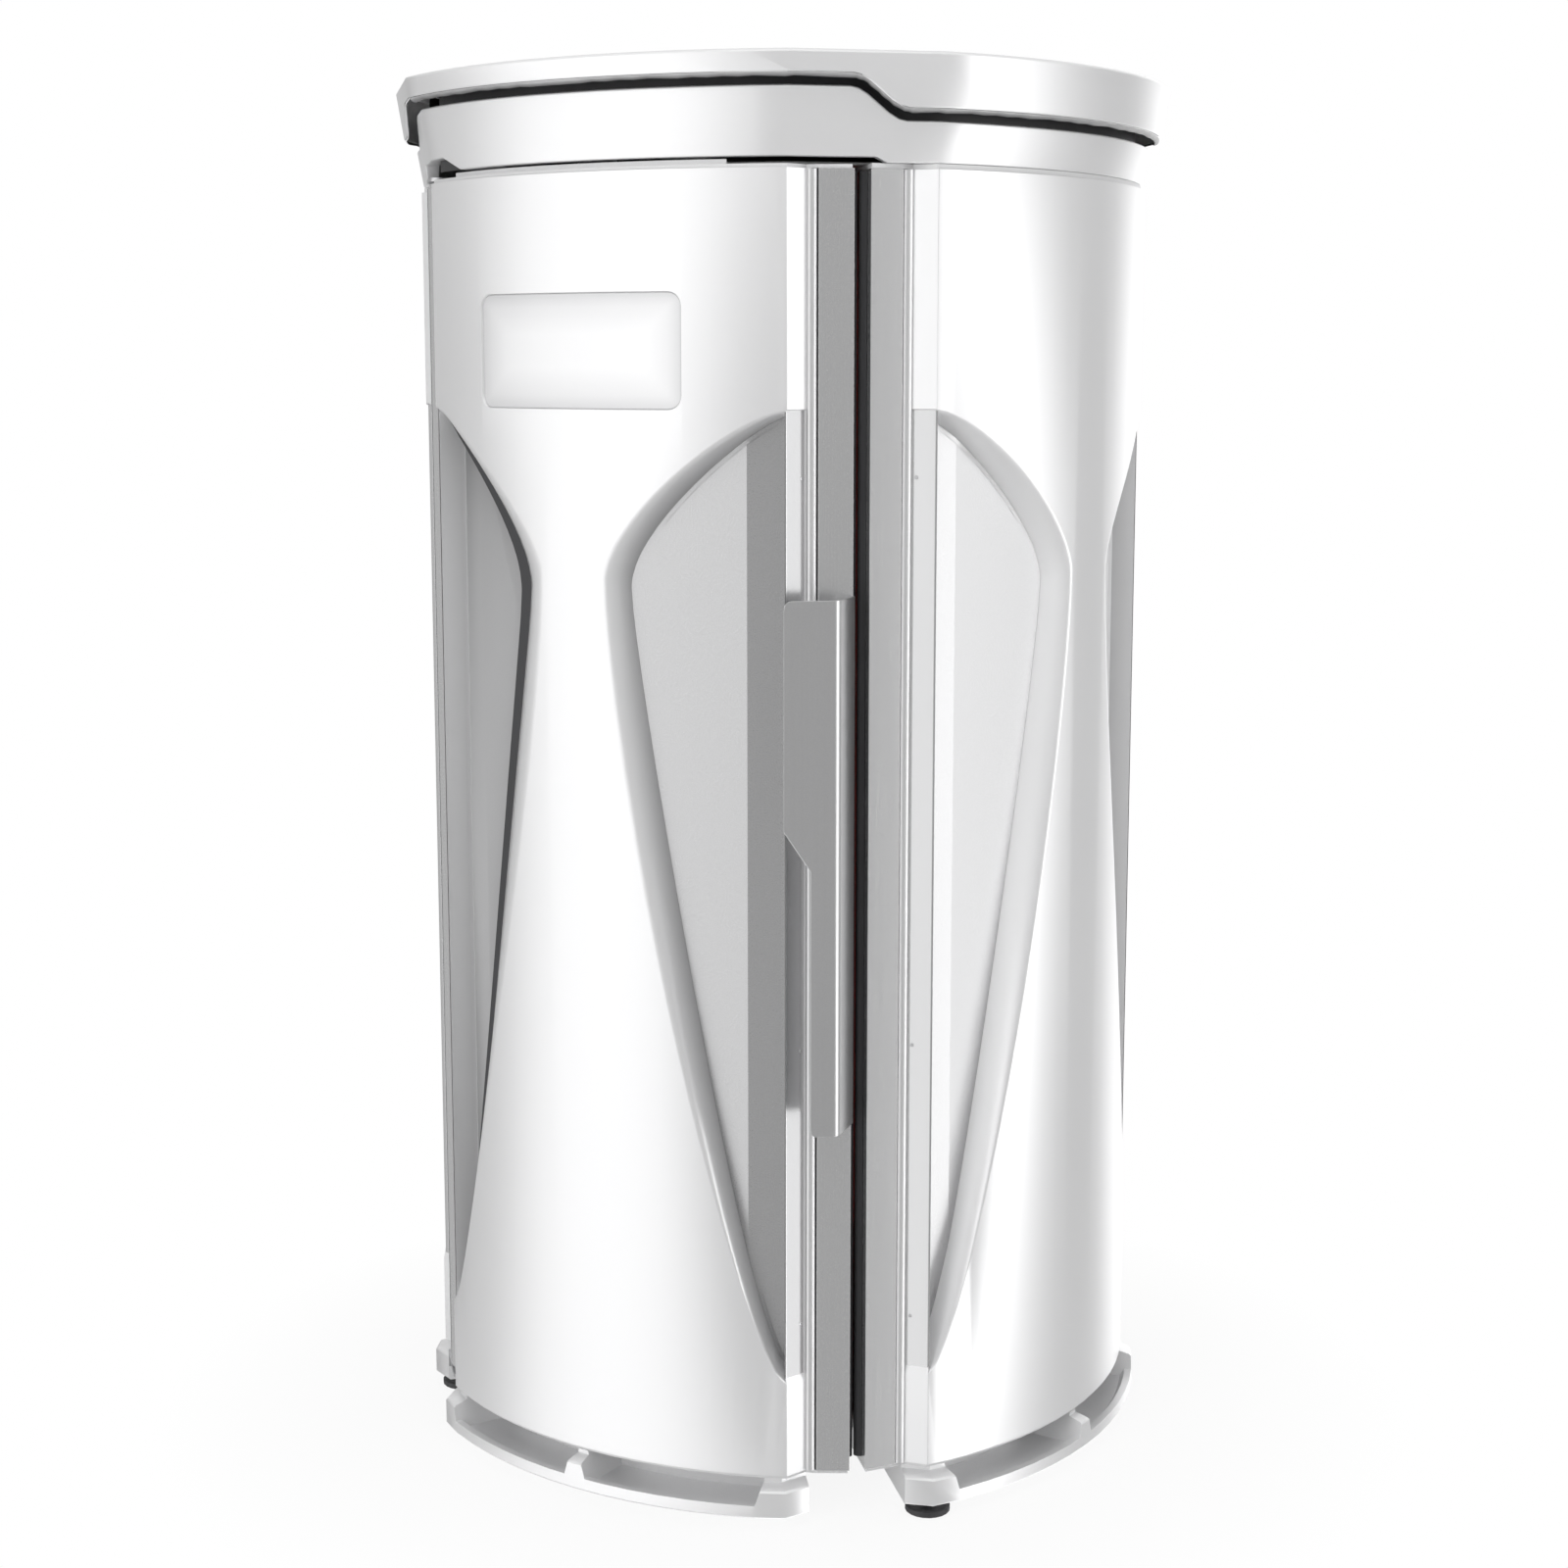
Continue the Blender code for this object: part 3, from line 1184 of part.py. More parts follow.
def door_handle():
    """Sheet handle: wide upper grip, slanted step, narrow lower part, all bent back to the stile."""
    path = handle_path()
    runs = np.concatenate(([0.0], np.cumsum([np.linalg.norm(b - a) for a, b in zip(path, path[1:])])))
    flat_start = runs[-1]

    def lay(run, z):
        if run <= flat_start:
            p = np.interp(run, runs, [spot[0] for spot in path])
            q = np.interp(run, runs, [spot[1] for spot in path])
        else:
            p, q = path[-1][0] + run - flat_start, path[-1][1]
        return (-p, -q, z)

    wide = flat_start + HANDLE_LEFT - path[-1][0]
    narrow = flat_start + HANDLE_NARROW - path[-1][0]
    r = HANDLE_CORNER
    outline = [(0.0, HANDLE_TOP)]
    bottom = []
    for run in runs[1:]:
        outline.append((run, HANDLE_TOP))
        bottom.append((run, HANDLE_BOTTOM))
    outline += [(wide - r + r * math.sin(t), HANDLE_TOP - r + r * math.cos(t))
                for t in np.linspace(0.0, math.pi / 2, 5)]
    outline += [(wide, HANDLE_WIDE_END), (narrow, HANDLE_NARROW_START)]
    outline += [(narrow - r + r * math.cos(t), HANDLE_BOTTOM + r - r * math.sin(t))
                for t in np.linspace(0.0, math.pi / 2, 5)]
    outline += bottom[::-1] + [(0.0, HANDLE_BOTTOM)]
    sheet = Sheet()
    points = [sheet.point(-run, z, lay(run, z)) for run, z in outline]
    sheet.line(points + points[:1])
    count = len(bottom)
    for i in range(count):
        sheet.line([points[1 + i], points[-2 - i]])
    handle = sheet.build("door_handle", ALUMINIUM, HANDLE_SHEET)
    hang_on_door(handle)
    return handle


# Control panel and power inlet

def control_panel():
    """Small housing on the right post, with a recessed screen and two button wells."""
    dx, dy, dz = PANEL_SIZE
    face = PANEL_BACK_Q - dx
    body = box("control_panel", BLACK_PLASTIC, PANEL_SIZE, (PANEL_BACK_Q - dx / 2, 0.0, PANEL_Z))
    bevel = body.modifiers.new("edge", "BEVEL")
    bevel.width = PANEL_EDGE
    bevel.segments = 1
    stem = box("panel_stem", BLACK_PLASTIC, (FLANGE_Q - PANEL_BACK_Q - FIT + STEM_ROOT, *STEM_SIZE),
               ((FLANGE_Q + PANEL_BACK_Q - FIT - STEM_ROOT) / 2, 0.0, PANEL_Z))
    boolean(body, cutter(stem), "UNION")
    screen = box("screen_recess", BLACK_PLASTIC, (SCREEN_RECESS * 2, dy - 2 * SCREEN_MARGIN, SCREEN_TALL),
                 (face, 0.0, PANEL_Z + SCREEN_UP))
    boolean(body, cutter(screen))
    for side in (-1, 1):
        well = cylinder(f"button_well_{side + 1}", BLACK_PLASTIC, BUTTON_R + RUN / 2, -0.02,
                        BUTTON_BODY - BUTTON_PROUD + BUTTON_TRAVEL + RUN, sides=24)
        well.matrix_world = button_place(side, face)
        boolean(body, cutter(well))
    return body


def button_place(side, face):
    """Frame of a button: its own +Z points into the panel, which is +X."""
    spot = Vector((face, side * BUTTON_PITCH / 2, PANEL_Z - BUTTON_DROP))
    return Matrix.Translation(spot) @ Matrix.Rotation(math.pi / 2, 4, "Y")


def button(side, name, look):
    made = cylinder(name, look, BUTTON_R, -BUTTON_PROUD, BUTTON_BODY - BUTTON_PROUD, sides=24, edge=BUTTON_EDGE)
    made.matrix_world = button_place(side, PANEL_BACK_Q - PANEL_SIZE[0])
    return made


def power_inlet():
    """Plate across the gap of the rear bases, with the mains inlet's body and its well."""
    half = BASE_END_P - FIT
    z0, z1 = Z_BASE + INLET_MARGIN, Z_DECK - INLET_MARGIN
    middle = (z0 + z1) / 2
    plate = box("power_inlet", BLACK_PLASTIC, (2 * half, INLET_SHEET, z1 - z0), (0.0, INLET_Q, middle))
    body = box("inlet_body", BLACK_PLASTIC, INLET_BODY, (0.0, INLET_Q - INLET_BACK, middle))
    well = box("inlet_well", BLACK_PLASTIC, INLET_WELL, (0.0, INLET_Q + INLET_BODY[1] / 2 - INLET_BACK, middle))
    boolean(plate, cutter(body), "UNION")
    boolean(plate, cutter(well))
    return plate


# The modules

for where in QUARTER_ANGLES:
    panel_shell(where, with_plate=where == "door")
    recess_insert(where, -1, where + "_insert_a")
    recess_insert(where, 1, where + "_insert_b")
    base(where, where + "_base")
    plate_r = DOOR_PLATE_R if where == "door" else FIXED_PLATE_R
    bottom_plate = end_plate(where, where + "_bottom_plate", Z_PLATE, plate_r)
    lamp_board(where, where + "_lamp_board")
    shield(where, where + "_shield")
    if where == "door":
        pivot_hole(bottom_plate, Z_PLATE)
        pivot_hole(end_plate(where, "door_top_plate", Z_TOP_PLATE, DOOR_PLATE_R), Z_TOP_PLATE)

stile("door", 1, "door_seam_stile")
stile("door", -1, "door_hinge_stile")
stile("front_right", -1, "front_stile")
stile("rear_left", 1, "left_stile")
post("front_right", "right_post")
post("rear_right", "rear_post")

# Crown, ceiling and fan

roof_frame()
crown_fascia()
crown_cap()
ceiling_panel()
fan_shroud()
fan_rotor()
power_supply()

# Floor and feet

disc("floor_platform", WHITE_BOARD, FLOOR_R, Z_PANEL, Z_FLOOR, FLOOR_EDGE)
disc("floor_mat", MAT_RUBBER, MAT_R, Z_FLOOR + FIT, Z_FLOOR + FIT + MAT_THICK, 0.0)
foot("centre_foot", CENTRE_FOOT_R, Z_PANEL - FIT)
base_foot("front_right", -1, "front_foot")
base_foot("rear_right", -1, "right_foot")
base_foot("rear_left", -1, "rear_foot")
base_foot("rear_left", 1, "left_foot")

# Door fittings

lower_pivot()
upper_pivot()
seal("door", 1, "door_seal", SEAL_GAP / 2)
seal("front_right", -1, "frame_seal", SEAL_GAP / 2)
seal("rear_left", 1, "hinge_seal", -HINGE_SEAL_PAST)
door_handle()

# Controls and power

control_panel()
button(-1, "start_button", GREEN)
button(1, "stop_button", RED)
power_inlet()
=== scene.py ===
"""Looks of the red light therapy booth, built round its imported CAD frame.

Metres, +Z up, the door seam faces -Y. A quarter module has its own plan coordinates: u runs out along
its middle and v along its tangent. Beside a seam, p runs along the flat and q out from the middle.
"""

import json
import math

import bmesh
import bpy
import numpy as np
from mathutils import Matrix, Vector
from mathutils.geometry import delaunay_2d_cdt

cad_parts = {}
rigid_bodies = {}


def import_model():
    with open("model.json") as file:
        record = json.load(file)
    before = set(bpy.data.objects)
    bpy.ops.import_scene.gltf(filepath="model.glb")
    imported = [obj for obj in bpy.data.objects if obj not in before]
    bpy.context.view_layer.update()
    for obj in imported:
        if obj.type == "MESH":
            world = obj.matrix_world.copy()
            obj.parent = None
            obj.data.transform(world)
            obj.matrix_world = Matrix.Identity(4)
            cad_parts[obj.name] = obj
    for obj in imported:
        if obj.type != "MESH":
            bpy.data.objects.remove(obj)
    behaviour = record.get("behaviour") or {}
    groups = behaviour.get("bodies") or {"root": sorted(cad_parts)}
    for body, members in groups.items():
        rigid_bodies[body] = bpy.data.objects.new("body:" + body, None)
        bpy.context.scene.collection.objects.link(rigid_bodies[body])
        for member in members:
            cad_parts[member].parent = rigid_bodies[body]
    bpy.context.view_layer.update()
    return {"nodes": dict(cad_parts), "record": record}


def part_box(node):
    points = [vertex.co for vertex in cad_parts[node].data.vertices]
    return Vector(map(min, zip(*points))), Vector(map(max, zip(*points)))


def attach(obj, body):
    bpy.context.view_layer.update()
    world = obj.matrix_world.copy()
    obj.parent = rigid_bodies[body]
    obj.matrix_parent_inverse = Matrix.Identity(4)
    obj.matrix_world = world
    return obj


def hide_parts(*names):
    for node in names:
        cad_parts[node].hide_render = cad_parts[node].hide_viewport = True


for old in list(bpy.data.objects):
    bpy.data.objects.remove(old, do_unlink=True)

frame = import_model()
NODES = frame["nodes"]
BODY_OF = {n: b for b, names in frame["record"]["behaviour"]["bodies"].items() for n in names}
SLOT_OF = {part["node"]: part["material_slot"] for part in frame["record"]["subparts"]}

# Plan and heights of the body, as the CAD has them
FLAT = 0.591
FLAT_HALF = 0.1135
PANEL_R = 0.710
FACET_P = 0.0797
FACET_Q = 0.5716
BEAD = 0.0082
BEAD_RISE = 0.0035
LIP = 0.016
SHELL_WALL = 0.0035
Z_PANEL = 0.0888
Z_PANEL_TOP = 2.0868
ROOT2 = math.sqrt(2.0)
CREASE_V = (FLAT - FLAT_HALF) / ROOT2
ARC_U = (FLAT + FLAT_HALF) / ROOT2 - math.sqrt(PANEL_R**2 - CREASE_V**2)
HALF_ANGLE = math.asin(CREASE_V / PANEL_R)
HALF_ARC = HALF_ANGLE * PANEL_R
QUARTERS = {name: math.radians(225 + 90 * k)
            for k, name in enumerate(("door", "front_right", "rear_right", "rear_left"))}

# Relief of a panel, as the CAD has it
TOP_BLOCK = 0.3473
BOTTOM_BLOCK = 0.1492
RECESS_TOP = Z_PANEL_TOP - TOP_BLOCK
RECESS_BOTTOM = Z_PANEL + BOTTOM_BLOCK
STEP_RISE = 0.0105
FOOT_TOP = RECESS_TOP - STEP_RISE
FOOT_BOTTOM = RECESS_BOTTOM + STEP_RISE
WAIST = 0.0556
WAIST_SHARE = 0.831
WAIST_Z = RECESS_BOTTOM + WAIST_SHARE * (RECESS_TOP - RECESS_BOTTOM)
FOOT_WAIST = 0.0862
FOOT_WAIST_SHARE = 0.825
FOOT_WAIST_Z = FOOT_BOTTOM + FOOT_WAIST_SHARE * (FOOT_TOP - FOOT_BOTTOM)
EDGE_ABOVE = (0.293, 0.723, 0.018)
EDGE_BELOW = (0.233, 0.781, 0.010)
FOOT_ABOVE = (0.373, 0.844, 0.010)
FOOT_BELOW = (0.092, 0.755, 0.010)
FLOOR_BEND = 0.2569
FLOOR_BEND_IN = 0.1000
FLOOR_BEND_N = PANEL_R - FLOOR_BEND_IN
FLOOR_RISE = 0.300
SIDE_DEPTH = 0.050
STRIP_DEPTH = 0.004
STRIP_EDGE = 0.002
PLATE_HALF = 0.193
PLATE_BELOW = 0.1753
PLATE_TALL = 0.1739
PLATE_HIGH = Z_PANEL_TOP - PLATE_BELOW
PLATE_LOW = PLATE_HIGH - PLATE_TALL
PLATE_CORNER = 0.022
PLATE_DEPTH = 0.0040

# Fine relief of the drawn panels
WALL_ACROSS = (0.0, 0.1, 0.2, 0.3, 0.4, 0.5, 0.58, 0.65, 0.8, 0.92, 1.0)
WALL_BEND = ((0.0, 0.0), (0.55, 0.0), (0.84, 0.50), (1.0, 1.0))
OPEN_BEND = ((0.0, 0.0), (0.30, 0.0), (0.68, 0.56), (1.0, 1.0))
# share across a recess wall over which the painted shade rises from none to full
WALL_PAINTED_SHADE = (0.05, 0.95)
WALL_DULL = (0.10, 0.60)
EXTRA_ROWS = ((0.0, 0.80, 0.88, 0.94, 0.975), (0.0, 0.04, 0.08, 0.13, 0.18, 0.23, 1.0))
INNER_COLUMNS = (0.35, 0.75)
COLUMN_COUNT = 16
NOSE_REACH = 1.40       # nose over the gap at the door's left, in widths of the wall
NOSE_DEPTH = 0.52
NOSE_FLAT = 0.35
NOSE_STEEP = 0.26
NOSE_TURN = 0.65        # where the nose ends and the wall below it begins
GAP_WIDE = 0.023
GAP_UNDER = 0.003
MARGIN_WIDE = 0.007     # margin drawn beside an insert
INSERT_SHEET = 0.002
RIDGE_ROUND = 0.0030
RIDGE_STEPS = 3
BEAD_TURN = (0.25, 2.6)
BEAD_STEPS = 8
BEAD_FULL = 0.7
ROD = 0.0150            # rod drawn over the bead
ROD_RISE = 0.0060
ROD_OPEN = 0.1
ROD_STEPS = 16
ROD_FULL = 0.8
STRIP_ROUND = 0.0012
STRIP_CURVE = ((-1.7, 1.0), (-1.0, 0.3), (0.0, 0.0), (1.0, 0.0))
STEP_BARE = 0.15        # share of the upper step that the covers leave free
COVER = 0.0005          # how far a cover stands off the CAD face below it
COVER_SHEET = 0.0004
PLATE_SLOPE = 0.0016    # steeper than in the CAD
PLATE_WALL = ((0.0, 0.0), (0.4, 0.25), (0.75, 0.8), (1.0, 1.0))
PLATE_TURN = 8
PLATE_STEPS = 33
# Painted shade of the name plate: distances from its rim, and the shade at each
PLATE_RIM = (0.0, 0.0012, 0.020, 0.060)
RIM_PAINTED_SHADE = (0.85, 0.45, 0.20, 0.0)

# Crown: the cap's wall leans in below its top edge, and a lip is rolled under it
CAP_OUT = 0.0393
CAP_LEAN = 0.16
CAP_DROP = 0.020
LIP_IN = 0.008
LIP_DROP = 0.0070
LIP_STEPS = 7
LIP_BACK = 0.0025
LIP_OVER = 0.0010
# how the lip's painted shade runs down into the groove
LIP_FADE = 0.9
LIP_ARC_STEPS = 33
LIP_FLAT_STEPS = 41
# Black sheet in the air groove: a filter mesh, and painted shade in the groove
FILTER_SHADE_IN = 0.0165
FILTER_SHADE_LOW = Z_PANEL_TOP + 0.018
FILTER_SHADE_HIGH = Z_PANEL_TOP + 0.157
FILTER_SHADE_STEPS = 17

# Angles in degrees at which shading breaks, and the tolerances
SMOOTH_TO = 35.0
SHELL_SMOOTH_TO = 32.0
SHEET_SMOOTH_TO = 50.0
INSERT_SMOOTH_TO = 2.0
BENT_SMOOTH_TO = 60.0
CREASE_FROM = 9.0
CREASE_TO = 40.0
EDGE_SEGMENTS = 2
NEAR = 1e-5
FLAT_NEAR = 1e-6
SAME_COLUMN = 1e-9
DIGITS = 6
HALVINGS = 50

# Places of the small fittings
STRIP_SCREW_P = 0.086
STRIP_SCREW_Z = (0.330, 0.767, 1.638)
HANDLE_SCREW_Y = -0.580
HANDLE_SCREW_Z = (0.690, 0.773, 1.352, 1.434)
LAMP_R = 0.588
LAMP_HALF = 0.48
LAMP_HEIGHTS = (0.19, 1.99)
LAMP_ROWS = 46
LAMP_COLUMNS = 13
MAT_REACH = 0.390
STUD_PITCH = 0.030
INLET_DEEP = 0.020
INLET_PIN = 0.0055
SCREEN_HALF = 0.0335
SCREEN_TALL = 0.0345
SCREEN_CORNER = 0.004
SCREEN_UP = 0.032
SCREEN_DEEP = 0.0015
TRIM_IN = 0.012
TRIM_LOW = Z_PANEL_TOP + 0.0060
TRIM_HIGH = Z_PANEL_TOP + 0.0128
TRIM_FROM = -0.80
TRIM_TO = 0.74
TRIM_STEPS = 25

# Turned shapes: number of sides, and pairs of radius and height
TURNED = {
    "screw": (12, ((0.0, 0.0004), (0.0016, 0.0004), (0.0018, 0.0013), (0.0026, 0.0012), (0.0032, 0.0))),
    "lens": (10, ((0.0, 0.0062), (0.0035, 0.0056), (0.0062, 0.0036), (0.0075, 0.0012), (0.0090, 0.0))),
    "stud": (10, ((0.0, 0.0014), (0.0045, 0.0012), (0.0060, 0.0))),
    "ring": (24, ((0.0122, 0.0), (0.0124, 0.0012), (0.0146, 0.0014), (0.0158, 0.0))),
    "pin": (10, ((0.0, 0.0100), (0.0010, 0.0098), (0.0014, 0.0090), (0.0014, 0.0))),
}

# Patterns of the finishes: scales of the noise, its usual range, and the height of the bumps
NOISE_LOW = 0.3
NOISE_HIGH = 0.7
PEEL_SCALE = 520.0
PEEL = 0.02
DRIFT_SCALE = 2.6
DRIFT = 0.01
GRAIN_SCALE = 900.0
SPARKLE_SCALE = 1100.0
DRAWN_SCALE = 260.0
DRAWN_STRETCH = (1.0, 1.0, 0.012)
PIT_SCALE = 700.0
WORN_SCALE = 14.0
GLOW_SCALE = 60.0
BUMP = 0.0004
METAL_BUMP = 0.0003
PIT_BUMP = 0.0005


# Shader maths

class Value:
    """A socket of a node tree; arithmetic on it adds Math nodes."""

    def __init__(self, tree, socket):
        self.tree = tree
        self.socket = socket

    def math(self, operation, first, second):
        node = add_node(self.tree, "ShaderNodeMath", {"operation": operation})
        connect(self.tree, first, node.inputs[0])
        connect(self.tree, second, node.inputs[1])
        return Value(self.tree, node.outputs[0])

    def __add__(self, other):
        return self.math("ADD", self, other)

    def __sub__(self, other):
        return self.math("SUBTRACT", self, other)

    def __rsub__(self, other):
        return self.math("SUBTRACT", other, self)

    def __mul__(self, other):
        return self.math("MULTIPLY", self, other)

    __radd__ = __add__
    __rmul__ = __mul__


def connect(tree, value, socket):
    """Links a Value to a socket, or sets the socket to a plain value."""
    if isinstance(value, Value):
        tree.links.new(value.socket, socket)
    else:
        socket.default_value = value


def add_node(tree, kind, settings=None, **values):
    """Any node: its settings first, then values or links by socket name, with _ for a space."""
    node = tree.nodes.new(kind)
    for name, value in (settings or {}).items():
        setattr(node, name, value)
    for name, value in values.items():
        connect(tree, value, node.inputs[name.replace("_", " ")])
    return node


def out(tree, node, name=0):
    return Value(tree, node.outputs[name])


LOOKS = {}


class Finish:
    """A material with one Principled shader, kept in LOOKS, and the nodes that its patterns need."""

    def __init__(self, name, colour, roughness, metallic=0.0, **sockets):
        LOOKS[name] = bpy.data.materials.new(name)
        LOOKS[name].use_nodes = True
        self.tree = LOOKS[name].node_tree
        self.shader = self.tree.nodes["Principled BSDF"]
        self.colour = colour
        self.set("Base Color", (*colour, 1.0))
        self.set("Roughness", roughness)
        self.set("Metallic", metallic)
        for socket, value in sockets.items():
            self.set(socket.replace("_", " "), value)

    def set(self, socket, value):
        connect(self.tree, value, self.shader.inputs[socket])

    def node(self, kind, settings=None, **values):
        return add_node(self.tree, kind, settings, **values)

    def attribute(self, name):
        return out(self.tree, self.node("ShaderNodeAttribute", {"attribute_name": name}), "Fac")

    def place(self, scale=(1.0, 1.0, 1.0)):
        spot = out(self.tree, self.node("ShaderNodeTexCoord"), "Object")
        return out(self.tree, self.node("ShaderNodeMapping", Vector=spot, Scale=scale))

    def noise(self, scale, stretch=(1.0, 1.0, 1.0), detail=3.0):
        made = self.node("ShaderNodeTexNoise", Vector=self.place(stretch), Scale=scale, Detail=detail)
        return out(self.tree, made, 0)

    def ramp(self, value, low, high):
        made = self.node("ShaderNodeMapRange", Value=value, From_Min=NOISE_LOW, From_Max=NOISE_HIGH,
                         To_Min=low, To_Max=high)
        return out(self.tree, made, 0)

    def tint(self, mask, second):
        """Base colour that runs from the finish's own to a second one by a mask."""
        mix = self.node("ShaderNodeMix", {"data_type": "RGBA"})
        connect(self.tree, mask, mix.inputs["Factor"])
        mix.inputs[6].default_value = (*self.colour, 1.0)
        mix.inputs[7].default_value = (*second, 1.0)
        self.set("Base Color", Value(self.tree, mix.outputs[2]))

    def bump(self, height, strength, distance):
        made = self.node("ShaderNodeBump", Height=height, Strength=strength, Distance=distance)
        self.set("Normal", out(self.tree, made))


def scaled(colour, share):
    """A colour made lighter or darker."""
    return tuple(share * c for c in colour)


def gloss(look, roughness, peel=PEEL):
    """Very fine orange peel and a slight drift of gloss; gives the drift."""
    drift = look.noise(DRIFT_SCALE, detail=2.0)
    look.set("Roughness", look.ramp(drift, roughness - DRIFT, roughness + DRIFT))
    look.bump(look.noise(PEEL_SCALE, detail=2.0), peel, BUMP)
    return drift


def moulded(name, colour, roughness, peel=PEEL, **sockets):
    """Moulded plastic."""
    look = Finish(name, colour, roughness, **sockets)
    drift = gloss(look, roughness, peel)
    look.tint(look.ramp(drift, 0.0, 1.0), scaled(colour, 1.0 - DRIFT))


def shell_plastic(name, colour, roughness, metallic, painted_shade_colour):
    """Gloss of the moulded shells, duller on the walls of the recesses, with painted shade that darkens the
    walls towards their feet.
    """
    look = Finish(name, colour, roughness)
    look.set("Metallic", (1.0 - look.attribute("wall")) * metallic)
    # painted shade: the colour runs to grey where the recess walls keep their shade
    look.tint(look.attribute("shade"), painted_shade_colour)
    gloss(look, roughness)


def coated(name, colour, roughness, metallic=0.0, speck=0.06):
    """Powder coat: fine dense texture and a faint speckle."""
    look = Finish(name, colour, roughness, metallic)
    grain = look.noise(GRAIN_SCALE, detail=2.0)
    look.tint(look.ramp(grain, 0.0, 1.0), scaled(colour, 1.0 - speck))
    look.set("Roughness", look.ramp(grain, roughness - 0.05, roughness + 0.05))
    look.bump(grain, 0.08, BUMP)


def satin_metal(name, colour, roughness, speck, metallic=1.0, streaks=0.2):
    """Bead blasted and anodised aluminium: fine sparkle with a trace of the drawing direction."""
    look = Finish(name, colour, roughness, metallic)
    sparkle = look.noise(SPARKLE_SCALE, detail=2.0)
    drawn = look.noise(DRAWN_SCALE, DRAWN_STRETCH)
    mask = sparkle * (1.0 - streaks) + drawn * streaks
    look.tint(look.ramp(mask, 0.0, 1.0), scaled(colour, 1.0 - speck))
    look.set("Roughness", look.ramp(mask, roughness - 0.05, roughness + 0.05))
    look.bump(mask, 0.10, METAL_BUMP)


def rubber(name, colour, roughness):
    """Rubber: matt, finely pitted, greyer where it is rubbed."""
    look = Finish(name, colour, roughness)
    pits = look.noise(PIT_SCALE)
    worn = look.noise(WORN_SCALE, detail=4.0)
    look.tint(look.ramp(worn, 0.0, 1.0), scaled(colour, 1.5))
    look.set("Roughness", look.ramp(worn, roughness - 0.08, roughness + 0.08))
    look.bump(pits, 0.12, PIT_BUMP)


def plate(name, colour, roughness, painted_shade_rim_colour):
    """White plastic with painted shade, darker towards a rim."""
    look = Finish(name, colour, roughness, 0.25)
    look.tint(look.attribute("rim"), painted_shade_rim_colour)
    look.bump(look.noise(PEEL_SCALE, detail=2.0), PEEL, BUMP)


def lit(name, colour, strength):
    """Lamp lens with a glow from inside."""
    look = Finish(name, colour, 0.2)
    drift = look.noise(GLOW_SCALE, detail=1.0)
    look.tint(look.ramp(drift, 0.0, 1.0), scaled(colour, 0.85))
    look.set("Emission Color", (*colour, 1.0))
    look.set("Emission Strength", strength)


# Looks of the slots, then those of single pieces
# white shells; the grey is the painted shade on the recess walls
shell_plastic("white_gloss", (0.86, 0.86, 0.865), 0.36, 0.47, (0.52, 0.52, 0.525))
coated("white_satin", (0.78, 0.78, 0.785), 0.42)
coated("white_board", (0.74, 0.74, 0.745), 0.5)
satin_metal("grey_satin", (0.56, 0.56, 0.565), 0.30, 0.08, 0.9, 0.0)
satin_metal("satin_aluminium", (0.80, 0.80, 0.805), 0.24, 0.10, 0.9)
rubber("black_rubber", (0.030, 0.030, 0.032), 0.60)
coated("lamp_board", (0.74, 0.72, 0.71), 0.42)
moulded("clear_acrylic", (0.93, 0.94, 0.95), 0.06, 0.0, Transmission_Weight=0.95, IOR=1.49)
coated("black_plastic", (0.028, 0.028, 0.030), 0.45, 0.0, 0.25)
satin_metal("zinc_steel", (0.56, 0.56, 0.57), 0.34, 0.10)
coated("grey_steel", (0.16, 0.16, 0.17), 0.45, 0.6)
rubber("grey_mat", (0.085, 0.085, 0.09), 0.80)
moulded("green_button", (0.05, 0.35, 0.12), 0.30)
moulded("red_button", (0.45, 0.03, 0.03), 0.30)

# side strips: a darker copy of the grey satin on the door (painted shade) and a lighter one elsewhere
# (painted light)
satin_metal("strip_satin", (0.52, 0.52, 0.525), 0.20, 0.08, 0.9, 0.1)
satin_metal("strip_pale", (0.68, 0.68, 0.685), 0.20, 0.08, 0.9, 0.1)
# lit and shaded copies of the grey satin: painted shade on the door's left insert and wall, painted light
# near-white on the bright recesses
satin_metal("insert_soft", (0.44, 0.44, 0.445), 0.50, 0.06, 0.3, 0.0)
satin_metal("side_soft", (0.62, 0.62, 0.625), 0.50, 0.06, 0.3, 0.0)
satin_metal("insert_pale", (0.93, 0.93, 0.935), 0.50, 0.04, 0.1, 0.0)
satin_metal("rod_satin", (0.84, 0.84, 0.845), 0.44, 0.06, 0.9)
# name plate: white plastic with painted shade towards its rim
plate("plate_white", (0.93, 0.93, 0.935), 0.40, (0.42, 0.42, 0.43))
# crown lip: white plastic painted grey and darker to black, painted shade under the cap
plate("lip_white", (0.62, 0.62, 0.625), 0.45, (0.035, 0.035, 0.037))
satin_metal("handle_satin", (0.67, 0.67, 0.675), 0.33, 0.10, 0.9)
satin_metal("screw_steel", (0.58, 0.58, 0.59), 0.28, 0.12)
lit("lamp_red", (0.85, 0.05, 0.03), 0.6)
lit("lamp_clear", (0.55, 0.30, 0.30), 0.1)
moulded("screen_glass", (0.012, 0.016, 0.022), 0.10, 0.0)


# Mesh helpers

